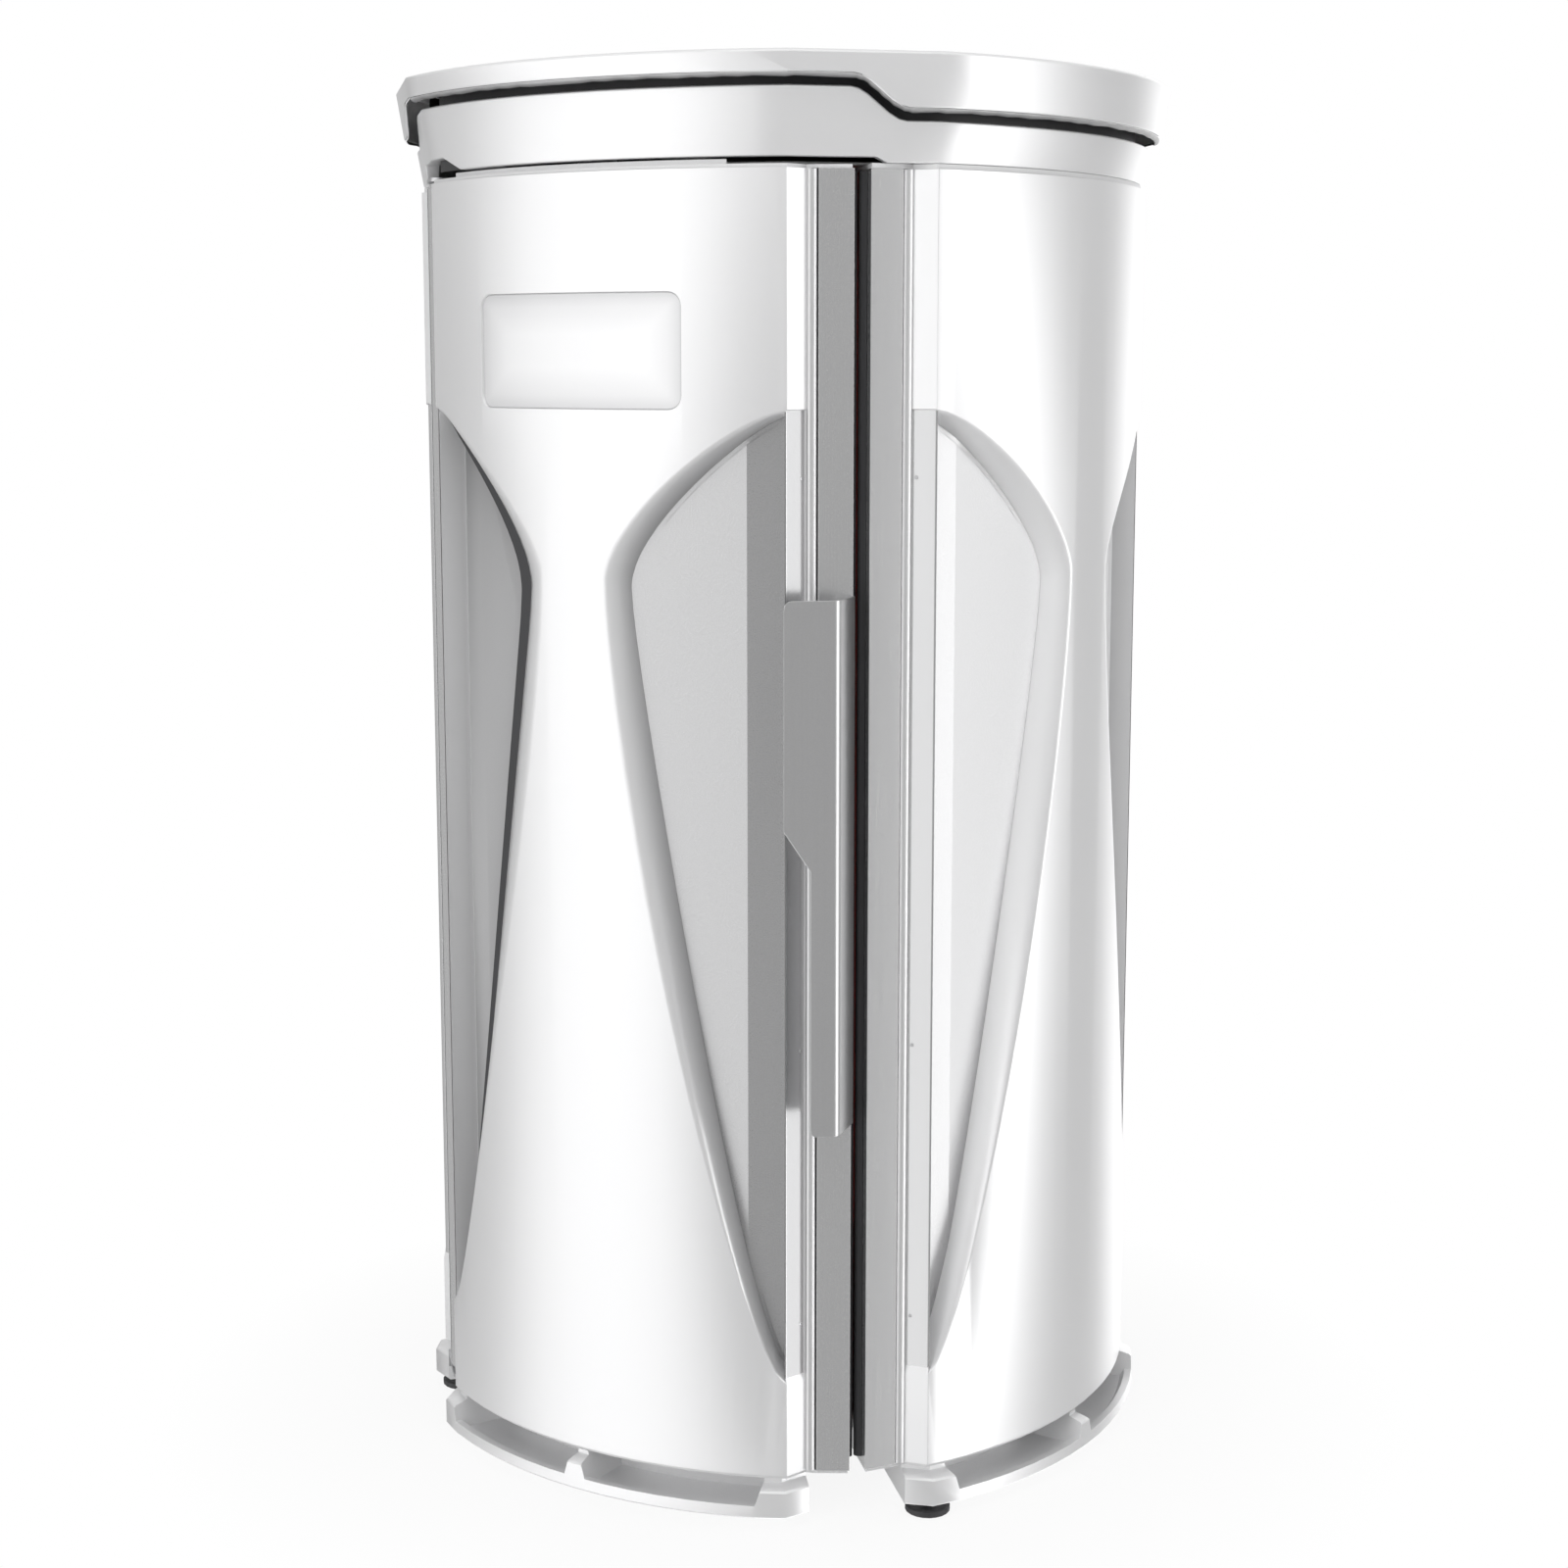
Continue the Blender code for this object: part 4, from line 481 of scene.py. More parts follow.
def as_piece(bm, name, slot, look=None, smooth_to=SMOOTH_TO):
    """Object from a BMesh, shaded smooth up to an angle, in the look of its slot or in one of its own."""
    mesh = bpy.data.meshes.new(name)
    bm.to_mesh(mesh)
    bm.free()
    mesh.shade_smooth()
    mesh.set_sharp_from_angle(angle=math.radians(smooth_to))
    mesh.materials.append(LOOKS[look or slot])
    obj = bpy.data.objects.new(name, mesh)
    bpy.context.scene.collection.objects.link(obj)
    obj["slot"] = slot
    return obj


def bake_modifiers(obj):
    """Replaces an object's mesh by its evaluated one, and drops its modifiers."""
    bpy.context.view_layer.update()
    graph = bpy.context.evaluated_depsgraph_get()
    mesh = bpy.data.meshes.new_from_object(obj.evaluated_get(graph))
    obj.modifiers.clear()
    obj.data = mesh
    return obj


def round_edges(obj, width):
    """Bevels the edges that are sharper than a crease."""
    bevel = obj.modifiers.new("edges", "BEVEL")
    bevel.width = width
    bevel.segments = EDGE_SEGMENTS
    bevel.limit_method = "ANGLE"
    bevel.angle_limit = math.radians(CREASE_TO)
    bevel.use_clamp_overlap = True
    flat = obj.modifiers.new("flat_faces", "WEIGHTED_NORMAL")
    flat.keep_sharp = True


def mark_creases(mesh):
    """Keeps slight creases crisp; sharper edges are left to the bevel."""
    bm = bmesh.new()
    bm.from_mesh(mesh)
    for edge in bm.edges:
        bend = math.degrees(edge.calc_face_angle(0.0))
        edge.smooth = not CREASE_FROM < bend < CREASE_TO
    bm.to_mesh(mesh)
    bm.free()


def settle(obj, body, *replaced):
    """Ties a finished piece to its body, and hides the CAD nodes that it stands for."""
    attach(obj, body)
    if replaced:
        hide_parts(*replaced)
    return obj


def dress(node, width=0.0, look=None, smooth_to=SMOOTH_TO):
    """Stands for a CAD node: its mesh merged, its sharp edges rounded, its curves shaded smooth."""
    bm = bmesh.new()
    bm.from_mesh(NODES[node].data)
    bmesh.ops.remove_doubles(bm, verts=bm.verts, dist=NEAR)
    obj = as_piece(bm, node + "_drawn", SLOT_OF[node], look, smooth_to)
    if width:
        mark_creases(obj.data)
        round_edges(obj, width)
        bake_modifiers(obj)
    return settle(obj, BODY_OF[node], node)


# Plan coordinates

def on_flat(p, q, end=1):
    """Plan place beside a seam, at the module's one end or the other."""
    return ((q + p) / ROOT2, end * (q - p) / ROOT2)


def on_arc(angle, radius):
    """Plan place on an arc about the panel's own centre."""
    return (ARC_U + radius * math.cos(angle), radius * math.sin(angle))


def to_world(u, v, z, quarter):
    c = math.cos(QUARTERS[quarter])
    s = math.sin(QUARTERS[quarter])
    return Vector((u * c - v * s, u * s + v * c, z))


def bezier(points, t):
    a, b, c, d = (np.array(p) for p in points)
    s = 1.0 - t
    return a * s**3 + 3 * b * s * s * t + 3 * c * s * t * t + d * t**3


# Curved panels with the hourglass relief

def half_edge(waist, waist_z, end_z, shares, t):
    """Point on one half of an edge, from the waist at 0 to the crease at 1."""
    straight, swing, steep = shares
    fall = end_z - waist_z
    return bezier(((waist, waist_z), (waist, waist_z + straight * fall),
                   (waist + swing * (HALF_ARC - waist), end_z - steep * fall), (HALF_ARC, end_z)), t)


def edge_point(part, t):
    """Outer edge of a recess: the half above the waist runs down to it, the half below away from it."""
    if part == 0:
        return half_edge(WAIST, WAIST_Z, RECESS_TOP, EDGE_ABOVE, 1.0 - t)
    return half_edge(WAIST, WAIST_Z, RECESS_BOTTOM, EDGE_BELOW, t)


def foot_point(part, t):
    """Foot of the recess wall, in the same way."""
    if part == 0:
        return half_edge(FOOT_WAIST, FOOT_WAIST_Z, FOOT_TOP, FOOT_ABOVE, 1.0 - t)
    return half_edge(FOOT_WAIST, FOOT_WAIST_Z, FOOT_BOTTOM, FOOT_BELOW, t)


def crossing(curve, part, value, axis=0):
    """Curve parameter at which its arc distance, or for axis 1 its height, has a value."""
    rising = curve(part, 1.0)[axis] > curve(part, 0.0)[axis]
    low, high = 0.0, 1.0
    for _ in range(HALVINGS):
        middle = (low + high) / 2
        if (curve(part, middle)[axis] < value) == rising:
            low = middle
        else:
            high = middle
    return (low + high) / 2


ENDS = ((RECESS_TOP, FOOT_TOP), (RECESS_BOTTOM, FOOT_BOTTOM))


def beside(part, t):
    """A point on a wall's edge, and the one on its foot at the same share of the height."""
    edge_end, foot_end = ENDS[part]
    edge = edge_point(part, t)
    share = (edge[1] - WAIST_Z) / (edge_end - WAIST_Z)
    height = FOOT_WAIST_Z + share * (foot_end - FOOT_WAIST_Z)
    return edge, foot_point(part, crossing(foot_point, part, height, 1))


def beside_bend(part):
    """Curve value of the edge beside the place where the foot crosses the bend of the floor."""
    edge_end, foot_end = ENDS[part]
    z = foot_point(part, crossing(foot_point, part, BEND_ARC))[1]
    share = (z - FOOT_WAIST_Z) / (foot_end - FOOT_WAIST_Z)
    return crossing(edge_point, part, WAIST_Z + share * (edge_end - WAIST_Z), 1)


def floor_radius(angle):
    """Distance of the recess floor from the arc's centre, in a direction from that centre."""
    slope = math.tan(abs(angle))
    side_n = (PANEL_R - SIDE_DEPTH) * math.cos(HALF_ANGLE)
    side_v = (PANEL_R - SIDE_DEPTH) * math.sin(HALF_ANGLE)
    fall = -FLOOR_RISE
    if slope > FLOOR_BEND / FLOOR_BEND_N:
        fall = (side_n - FLOOR_BEND_N) / (side_v - FLOOR_BEND)
    n = (FLOOR_BEND_N - fall * FLOOR_BEND) / (1.0 - fall * slope)
    return n / math.cos(angle)


BEND_ARC = math.atan2(FLOOR_BEND, FLOOR_BEND_N) * PANEL_R
COLUMNS = [WAIST * share for share in INNER_COLUMNS]
COLUMNS += [WAIST + (HALF_ARC - WAIST) * (k + 1) / (COLUMN_COUNT + 1) for k in range(COLUMN_COUNT)]


def has_gap(quarter, side):
    """The wall on the left of the door leans over a dark gap."""
    return quarter == "door" and side < 0


def is_bright(quarter, side):
    """The recess on the right of the seam has open white walls."""
    return quarter == "front_right" and side < 0


def wall_profile(across, quarter, side):
    """Shares of a recess wall's width and depth; on the left of the door, a nose and the wall below it."""
    if not has_gap(quarter, side):
        return bezier(OPEN_BEND if is_bright(quarter, side) else WALL_BEND, across)
    if across < NOSE_TURN:
        nose = ((0.0, 0.0), (NOSE_FLAT, 0.0), (NOSE_REACH, NOSE_STEEP), (NOSE_REACH, NOSE_DEPTH))
        return bezier(nose, across / NOSE_TURN)
    rest = (across - NOSE_TURN) / (1.0 - NOSE_TURN)
    return NOSE_REACH + rest * (1.0 - NOSE_REACH), NOSE_DEPTH + rest * (1.0 - NOSE_DEPTH)


def wall_depth(foot):
    """Depth of the recess at the foot of its wall."""
    return PANEL_R - floor_radius(foot[0] / PANEL_R)


class Sheet:
    """Flat pattern of points and lines, each point with its place in space and its tones: dullness and
    painted shade.
    """

    def __init__(self):
        self.flat = []
        self.space = []
        self.tones = []
        self.lines = []

    def point(self, a, z, place, wall=0.0, shade=0.0):
        self.flat.append(Vector((a, z)))
        self.space.append(place)
        self.tones.append((wall, shade))
        return len(self.flat) - 1

    def line(self, points):
        self.lines += list(zip(points, points[1:]))

    def mesh(self):
        made = delaunay_2d_cdt(self.flat, self.lines, [], 1, FLAT_NEAR)
        bm = bmesh.new()
        for name in ("wall", "shade"):
            bm.verts.layers.float.new(name)
        layers = [bm.verts.layers.float[name] for name in ("wall", "shade")]
        verts = [bm.verts.new(self.space[origin[0]]) for origin in made[3]]
        for vert, origin in zip(verts, made[3]):
            for layer, tone in zip(layers, self.tones[origin[0]]):
                vert[layer] = tone
        for face in made[2]:
            bm.faces.new([verts[i] for i in face])
        return bm


def on_panel(quarter, a, z, radius=PANEL_R):
    """Place at an arc distance from the panel's middle, and a height."""
    u, v = on_arc(a / PANEL_R, radius)
    return to_world(u, v, z, quarter)


def recess_rows():
    """Curve values down one recess, from its top end to its bottom end."""
    rows = []
    for part, extra in enumerate(EXTRA_ROWS):
        values = list(extra) + [beside_bend(part)]
        values += [crossing(edge_point, part, a) for a in COLUMNS[len(INNER_COLUMNS):]]
        rows += [(part, t) for t in sorted(values)]
    return rows


def panel_shell(quarter, node, with_plate):
    """The moulded panel again, with a finer relief than the CAD has."""
    sheet = Sheet()
    stops = {}
    rows = recess_rows()
    for side in (-1, 1):
        walls = []
        for part, t in rows:
            edge, foot = beside(part, t)
            row = []
            for across in WALL_ACROSS:
                flat_a, flat_z = edge + (foot - edge) * across
                reach, depth = wall_profile(across, quarter, side)
                a, z = edge + (foot - edge) * reach
                place = on_panel(quarter, side * a, z, PANEL_R - depth * wall_depth(foot))
                dull = np.interp(across, WALL_DULL, (0.0, 1.0))
                # painted shade, darker towards the foot of the wall; none on the open white walls
                shade = 0.0 if is_bright(quarter, side) else np.interp(across, WALL_PAINTED_SHADE, (0.0, 1.0))
                row.append(sheet.point(side * flat_a, flat_z, place, dull, shade))
            walls.append(row)
            column = min(COLUMNS, key=lambda c: abs(c - edge[0]))
            if abs(column - edge[0]) < NEAR:
                stops[(side * column, part)] = row[0]
        for k in range(len(WALL_ACROSS)):
            sheet.line([row[k] for row in walls])
        sheet.line([row[-1] for row in walls if abs(abs(sheet.flat[row[-1]].x) - BEND_ARC) < NEAR])
        panel_side(sheet, quarter, side, walls)
    panel_columns(sheet, quarter, stops, with_plate)
    bm = sheet.mesh()
    round_ridges(bm, quarter)
    piece = as_piece(bm, node + "_drawn", "white_gloss")
    wall = piece.modifiers.new("wall", "SOLIDIFY")
    wall.thickness = SHELL_WALL
    wall.offset = -1.0
    bake_modifiers(piece)
    piece.data.shade_smooth()
    piece.data.set_sharp_from_angle(angle=math.radians(SHELL_SMOOTH_TO))
    return settle(piece, BODY_OF[node], node)


def round_ridges(bm, quarter):
    """Rounds the ridges between the arc and the facets, on the raised blocks."""
    ridges = []
    for side in (-1, 1):
        ridge = on_panel(quarter, side * HALF_ARC, 0.0)
        for edge in bm.edges:
            ends = [v.co for v in edge.verts]
            high = max(v.z for v in ends)
            low = min(v.z for v in ends)
            near = all((v.xy - ridge.xy).length < NEAR for v in ends)
            if near and (low > RECESS_TOP - NEAR or high < RECESS_BOTTOM + NEAR):
                ridges.append(edge)
    bmesh.ops.bevel(bm, geom=ridges, offset=RIDGE_ROUND, segments=RIDGE_STEPS, profile=0.5,
                    affect="EDGES", clamp_overlap=True)


def panel_side(sheet, quarter, side, walls):
    """Crease, chamfered facet, bead and turned edge along one side of a panel."""
    step_top = sheet.flat[walls[0][1]].y
    ends = ((RECESS_TOP, walls[0][0]), (step_top, walls[0][1]), (FOOT_TOP, walls[0][-1]),
            (FOOT_BOTTOM, walls[-1][-1]), (RECESS_BOTTOM, walls[-1][0]))
    known = {round(z, DIGITS): point for z, point in ends}
    start, along, inward = strip_frame()
    bead = [(-BEAD * (0.5 - 0.5 * math.cos(t)), BEAD_RISE * math.sin(t) ** BEAD_FULL)
            for t in np.linspace(*BEAD_TURN, BEAD_STEPS)]
    path = [start + (STRIP_EDGE - STRIP_ROUND) * along, start + STRIP_EDGE * along]
    path += [np.array((FACET_P, FACET_Q)) + d for d in
             [(0.0, 0.0)] + bead + [(-BEAD, -0.25 * LIP), (-BEAD, -LIP)]]
    sunk = (STRIP_DEPTH + STRIP_ROUND, STRIP_DEPTH, STRIP_DEPTH)
    columns = [[] for _ in range(len(path) + 1)]
    for z, back in ((Z_PANEL, 0.0), (RECESS_BOTTOM, 0.0), (FOOT_BOTTOM, 1.0), (FOOT_TOP, 1.0),
                    (step_top, 1.0), (RECESS_TOP, 0.0), (Z_PANEL_TOP, 0.0)):
        crease = known.get(round(z, DIGITS))
        if crease is None:
            crease = sheet.point(side * HALF_ARC, z, on_panel(quarter, side * HALF_ARC, z))
        columns[0].append(crease)
        run = HALF_ARC
        last = start
        for k, spot in enumerate(path):
            run += np.linalg.norm(spot - last)
            last = spot
            if k < len(sunk):
                spot = spot + inward * sunk[k] * back
            u, v = on_flat(spot[0], spot[1], side)
            columns[k + 1].append(sheet.point(side * run, z, to_world(u, v, z, quarter)))
    for column in columns:
        sheet.line(column)
    for row in zip(*columns):
        sheet.line(row)


def strip_frame():
    """Crease beside a seam, the direction of the facet from there, and its inward normal."""
    start = np.array((FLAT_HALF, FLAT))
    along = np.array((FACET_P, FACET_Q)) - start
    along /= np.linalg.norm(along)
    inward = np.array((along[1], -along[0]))
    return start, along, inward * -np.sign(inward[1])


def thin_sheet(rows, flip, name, slot, body, look=None):
    """Sheet through rows of points, a little thick, as a piece that lies on a CAD node."""
    bm = bmesh.new()
    verts = [[bm.verts.new(spot) for spot in row] for row in rows]
    for low, high in zip(verts, verts[1:]):
        for i in range(len(low) - 1):
            quad = (low[i], low[i + 1], high[i + 1], high[i])
            bm.faces.new(quad[::-1] if flip else quad)
    piece = as_piece(bm, name, slot, look, SHEET_SMOOTH_TO)
    sheet = piece.modifiers.new("sheet", "SOLIDIFY")
    sheet.thickness = COVER_SHEET
    sheet.offset = 0.0
    bake_modifiers(piece)
    piece.data.set_sharp_from_angle(angle=math.radians(SHEET_SMOOTH_TO))
    return settle(piece, body)


def side_covers(quarter, side, letter, body):
    """Metal on one side of a panel: strip and inner wall of the recess, and the rod beside the stile."""
    start, along, inward = strip_frame()
    length = np.linalg.norm(np.array((FACET_P, FACET_Q)) - start)
    bends = [(STRIP_EDGE + run * STRIP_ROUND, sink * STRIP_ROUND) for run, sink in STRIP_CURVE]
    strip = [on_flat(*(start + run * along + inward * (STRIP_DEPTH + sink - COVER)), side)
             for run, sink in bends + [(length - STRIP_EDGE, 0.0)]]
    wall = []
    for depth in (STRIP_DEPTH + STRIP_ROUND, SIDE_DEPTH - INSERT_SHEET):
        u, v = on_arc(HALF_ANGLE, PANEL_R - depth)
        wall.append((u + COVER * math.sin(HALF_ANGLE), side * (v - COVER * math.cos(HALF_ANGLE))))
    inner = HALF_ANGLE - MARGIN_WIDE / PANEL_R
    u, v = on_arc(inner, floor_radius(inner) + INSERT_SHEET)
    wall.append((u, side * v))
    rod = []
    for turn in np.linspace(ROD_OPEN, math.pi - ROD_OPEN, ROD_STEPS):
        p = FACET_P - ROD / 2 * (1.0 - math.cos(turn))
        rod.append(on_flat(p, FACET_Q + ROD_RISE * math.sin(turn) ** ROD_FULL, side))
    inside = (FOOT_BOTTOM, RECESS_TOP - STEP_BARE * STEP_RISE)
    whole = (Z_PANEL + COVER, Z_PANEL_TOP - COVER)
    # painted shade on the wall at the door's left, painted light on the other side walls
    side_look = "side_soft" if has_gap(quarter, side) else "insert_pale"
    # painted shade on the door's strips, painted light on the others
    strip_look = "strip_satin" if quarter == "door" else "strip_pale"
    covers = (("strip", strip, inside, "grey_satin", strip_look),
              ("side", wall, inside, "grey_satin", side_look),
              ("rod", rod, whole, "satin_aluminium", "rod_satin"))
    for label, path, heights, slot, look in covers:
        rows = [[to_world(u, v, z, quarter) for u, v in path] for z in heights]
        thin_sheet(rows, side < 0, f"{quarter}_{label}_{letter}", slot, body, look)


def recess_trims(quarter, side, letter, body):
    """Margin of an insert out to the foot of the wall, and on the left of the door a black sheet in the gap,
    painted shade under the nose.
    """
    margin = []
    gap = []
    for part, t in recess_rows():
        edge, foot = beside(part, t)
        across = (foot - edge) / np.linalg.norm(foot - edge)
        share = abs(edge[1] - WAIST_Z) / abs(ENDS[part][0] - WAIST_Z)
        outer_a, outer_z = foot + across * MARGIN_WIDE
        margin.append([on_panel(quarter, side * a, z, floor_radius(a / PANEL_R) + INSERT_SHEET)
                       for a, z in (foot, (min(outer_a, HALF_ARC), outer_z))])
        tip = edge + (foot - edge) * NOSE_REACH
        radius = PANEL_R - NOSE_STEEP * wall_depth(foot) - GAP_UNDER
        gap.append([on_panel(quarter, side * a, z, radius)
                    for a, z in (tip - across * GAP_UNDER, tip + across * GAP_WIDE * (1.0 - share))])
    thin_sheet(margin, side > 0, f"{quarter}_margin_{letter}", "grey_satin", body,
               OWN_LOOK.get(f"{quarter}_insert_{letter}"))
    # black sheet standing for the shade in the gap under the nose: painted shade
    if has_gap(quarter, side):
        thin_sheet(gap, side > 0, "door_gap_a", "black_rubber", body)


def plate_loop(inset):
    """Rounded rectangle of the plate recess, as arc distance and height."""
    half = PLATE_HALF - inset
    low = PLATE_LOW + inset
    high = PLATE_HIGH - inset
    corner = PLATE_CORNER - inset
    loop = []
    for turn_no, (a, z) in enumerate(((half, high), (-half, high), (-half, low), (half, low))):
        centre = (a - math.copysign(corner, a), z - corner if z == high else z + corner)
        for i in range(PLATE_TURN + 1):
            at = math.pi / 2 * (turn_no + i / PLATE_TURN)
            loop.append((centre[0] + corner * math.cos(at), centre[1] + corner * math.sin(at)))
    return loop


def panel_columns(sheet, quarter, stops, with_plate):
    """Upright lines that keep the arc round, and the plate recess with its own stretch of them."""
    signed = [0.0] + [s * c for c in COLUMNS for s in (-1, 1)]
    rails = {}
    if with_plate:
        for inset, depth in PLATE_WALL:
            loop = plate_loop(PLATE_SLOPE * inset)
            ring = []
            for spot, after in zip(loop, loop[1:] + loop[:1]):
                ring.append(spot)
                inside = [c for c in signed if min(spot[0], after[0]) < c < max(spot[0], after[0])]
                for c in sorted(inside, reverse=after[0] < spot[0]):
                    share = (c - spot[0]) / (after[0] - spot[0])
                    ring.append((c, spot[1] + share * (after[1] - spot[1])))
            points = []
            for a, z in ring:
                points.append(sheet.point(a, z, on_panel(quarter, a, z, PANEL_R - PLATE_DEPTH * depth)))
                if any(abs(a - c) < SAME_COLUMN for c in signed):
                    rails.setdefault(round(a, DIGITS), []).append(points[-1])
            sheet.line(points + points[:1])
    for a in signed:
        ends = [sheet.point(a, z, on_panel(quarter, a, z)) for z in (Z_PANEL, Z_PANEL_TOP)]
        held = [stops[(a, part)] for part in (0, 1) if (a, part) in stops]
        run = sorted(ends + held + rails.get(round(a, DIGITS), []), key=lambda i: sheet.flat[i].y)
        for lower, upper in zip(run, run[1:]):
            if not (held and lower == held[1]):
                sheet.line([lower, upper])
    for z in (Z_PANEL, Z_PANEL_TOP):
        row = [i for i, p in enumerate(sheet.flat) if abs(p.y - z) < NEAR and abs(p.x) < HALF_ARC + NEAR]
        sheet.line(sorted(row, key=lambda i: sheet.flat[i].x))


def groove_filter():
    """Black sheet behind the air groove of the crown, a filter mesh that also stands in as painted shade in
    the groove; open at the notch on the left.
    """
    outline = []
    for quarter in QUARTERS:
        for angle in np.linspace(-HALF_ANGLE, HALF_ANGLE, FILTER_SHADE_STEPS):
            outline.append((quarter, on_arc(angle, PANEL_R - FILTER_SHADE_IN)))
    rows = [[to_world(u, v, z, quarter) for quarter, (u, v) in outline] for z in (FILTER_SHADE_LOW, FILTER_SHADE_HIGH)]
    thin_sheet(rows, False, "groove_filter", "black_plastic", "cabin")


def cap_edge():
    """Top of the CAD cap, and the bearings and heights along its lower edge."""
    cap = NODES["crown_cap"]
    spots = [cap.matrix_world @ vert.co for vert in cap.data.vertices]
    top = max(spot.z for spot in spots)
    low = sorted((math.atan2(spot.y, spot.x), spot.z) for spot in spots if spot.z < top - CAP_DROP)
    return top, [bearing for bearing, _ in low], [height for _, height in low]


def keep_rim(piece, shade):
    """Keeps a painted shade for each point of a sheet, for the finishes that darken towards a rim."""
    layer = piece.data.attributes.new("rim", "FLOAT", "POINT")
    layer.data.foreach_set("value", np.resize(shade, len(piece.data.vertices)))


def crown_lip():
    """Rolled lower edge of the cap, white plastic with painted shade from grey down to black into the air
    groove; open at the notch on the left.
    """
    top, bearings, heights = cap_edge()
    angles = np.linspace(-HALF_ANGLE, HALF_ANGLE, LIP_ARC_STEPS)
    between = np.linspace(FLAT_HALF, -FLAT_HALF, LIP_FLAT_STEPS)[1:-1]
    stations = []
    for quarter in QUARTERS:
        stations += [(quarter, on_arc, angle, PANEL_R) for angle in angles]
        if quarter != "rear_left":
            stations += [(quarter, on_flat, p, FLAT) for p in between]
    turns = np.linspace(0.0, math.pi / 2, LIP_STEPS)
    rows = [[] for _ in turns]
    for quarter, place, value, base in stations:
        seen = to_world(*place(value, base + CAP_OUT), 0.0, quarter)
        edge = np.interp(math.atan2(seen.y, seen.x), bearings, heights, period=2 * math.pi)
        reach = base + CAP_OUT - CAP_LEAN * (top - edge) - LIP_BACK
        for row, turn in zip(rows, turns):
            spot = place(value, reach - LIP_IN * (1.0 - math.cos(turn)))
            row.append(to_world(*spot, edge + LIP_OVER - LIP_DROP * math.sin(turn), quarter))
    # painted shade: grey, darkening to black towards the groove
    piece = thin_sheet(rows, True, "crown_lip", "white_gloss", "cabin", "lip_white")
    keep_rim(piece, np.repeat(np.linspace(0.0, 1.0, LIP_STEPS) ** LIP_FADE, len(stations)))


def rounded_grid(half, tall, corner):
    """Rows of points over a rounded rectangle, each as across, up and distance from the rim."""
    spread = np.sin(np.linspace(-math.pi / 2, math.pi / 2, PLATE_STEPS))
    rows = []
    for up in spread:
        row = []
        for across in half * spread:
            into = max(0.0, abs(across) - half + corner)
            reach = tall - corner + math.sqrt(max(0.0, corner**2 - into**2))
            row.append((across, up * reach, min(half - abs(across), reach * (1.0 - abs(up)))))
        rows.append(row)
    return rows


def screen():
    """Dark glass in the recess of the control panel."""
    (face, near, bottom), (_, far, top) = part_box("control_panel")
    x = face + SCREEN_DEEP - COVER
    y = (near + far) / 2
    z = (bottom + top) / 2 + SCREEN_UP
    grid = rounded_grid(SCREEN_HALF, SCREEN_TALL, SCREEN_CORNER)
    rows = [[Vector((x, y + a, z + up)) for a, up, _ in row] for row in grid]
    thin_sheet(rows, True, "control_screen", "black_plastic", "cabin", "screen_glass")


def door_top_trim():
    """Pale upright edge on the door's top plate, seen in the slot under the crown."""
    angles = HALF_ANGLE * np.linspace(TRIM_FROM, TRIM_TO, TRIM_STEPS)
    spots = [on_arc(angle, PANEL_R - TRIM_IN) for angle in angles]
    rows = [[to_world(u, v, z, "door") for u, v in spots] for z in (TRIM_LOW, TRIM_HIGH)]
    thin_sheet(rows, False, "door_top_trim", "white_satin", "door")


def name_plate():
    """Bare plate in the recess on the door, with a painted shade kept for the finish that darkens it near
    its rim.
    """
    middle = (PLATE_LOW + PLATE_HIGH) / 2
    grid = rounded_grid(PLATE_HALF - PLATE_SLOPE, (PLATE_HIGH - PLATE_LOW) / 2 - PLATE_SLOPE,
                        PLATE_CORNER - PLATE_SLOPE)
    radius = PANEL_R - PLATE_DEPTH + COVER
    rows = [[on_panel("door", a, middle + up, radius) for a, up, _ in row] for row in grid]
    piece = thin_sheet(rows, False, "name_plate", "white_gloss", "door", "plate_white")
    rims = [rim for row in grid for _, _, rim in row]
    keep_rim(piece, np.interp(rims, PLATE_RIM, RIM_PAINTED_SHADE))


# Fittings that repeat

def turned(name, sides, profile):
    """Small turned shape along +Z, from pairs of radius and height."""
    bm = bmesh.new()
    spine = [bm.verts.new((radius, 0.0, height)) for radius, height in profile]
    edges = [bm.edges.new(pair) for pair in zip(spine, spine[1:])]
    bmesh.ops.spin(bm, geom=spine + edges, cent=(0.0, 0.0, 0.0), axis=(0.0, 0.0, 1.0),
                   angle=2 * math.pi, steps=sides, use_merge=True)
    bmesh.ops.remove_doubles(bm, verts=bm.verts, dist=NEAR)
    bmesh.ops.recalc_face_normals(bm, faces=bm.faces)
    return as_piece(bm, name, "zinc_steel")


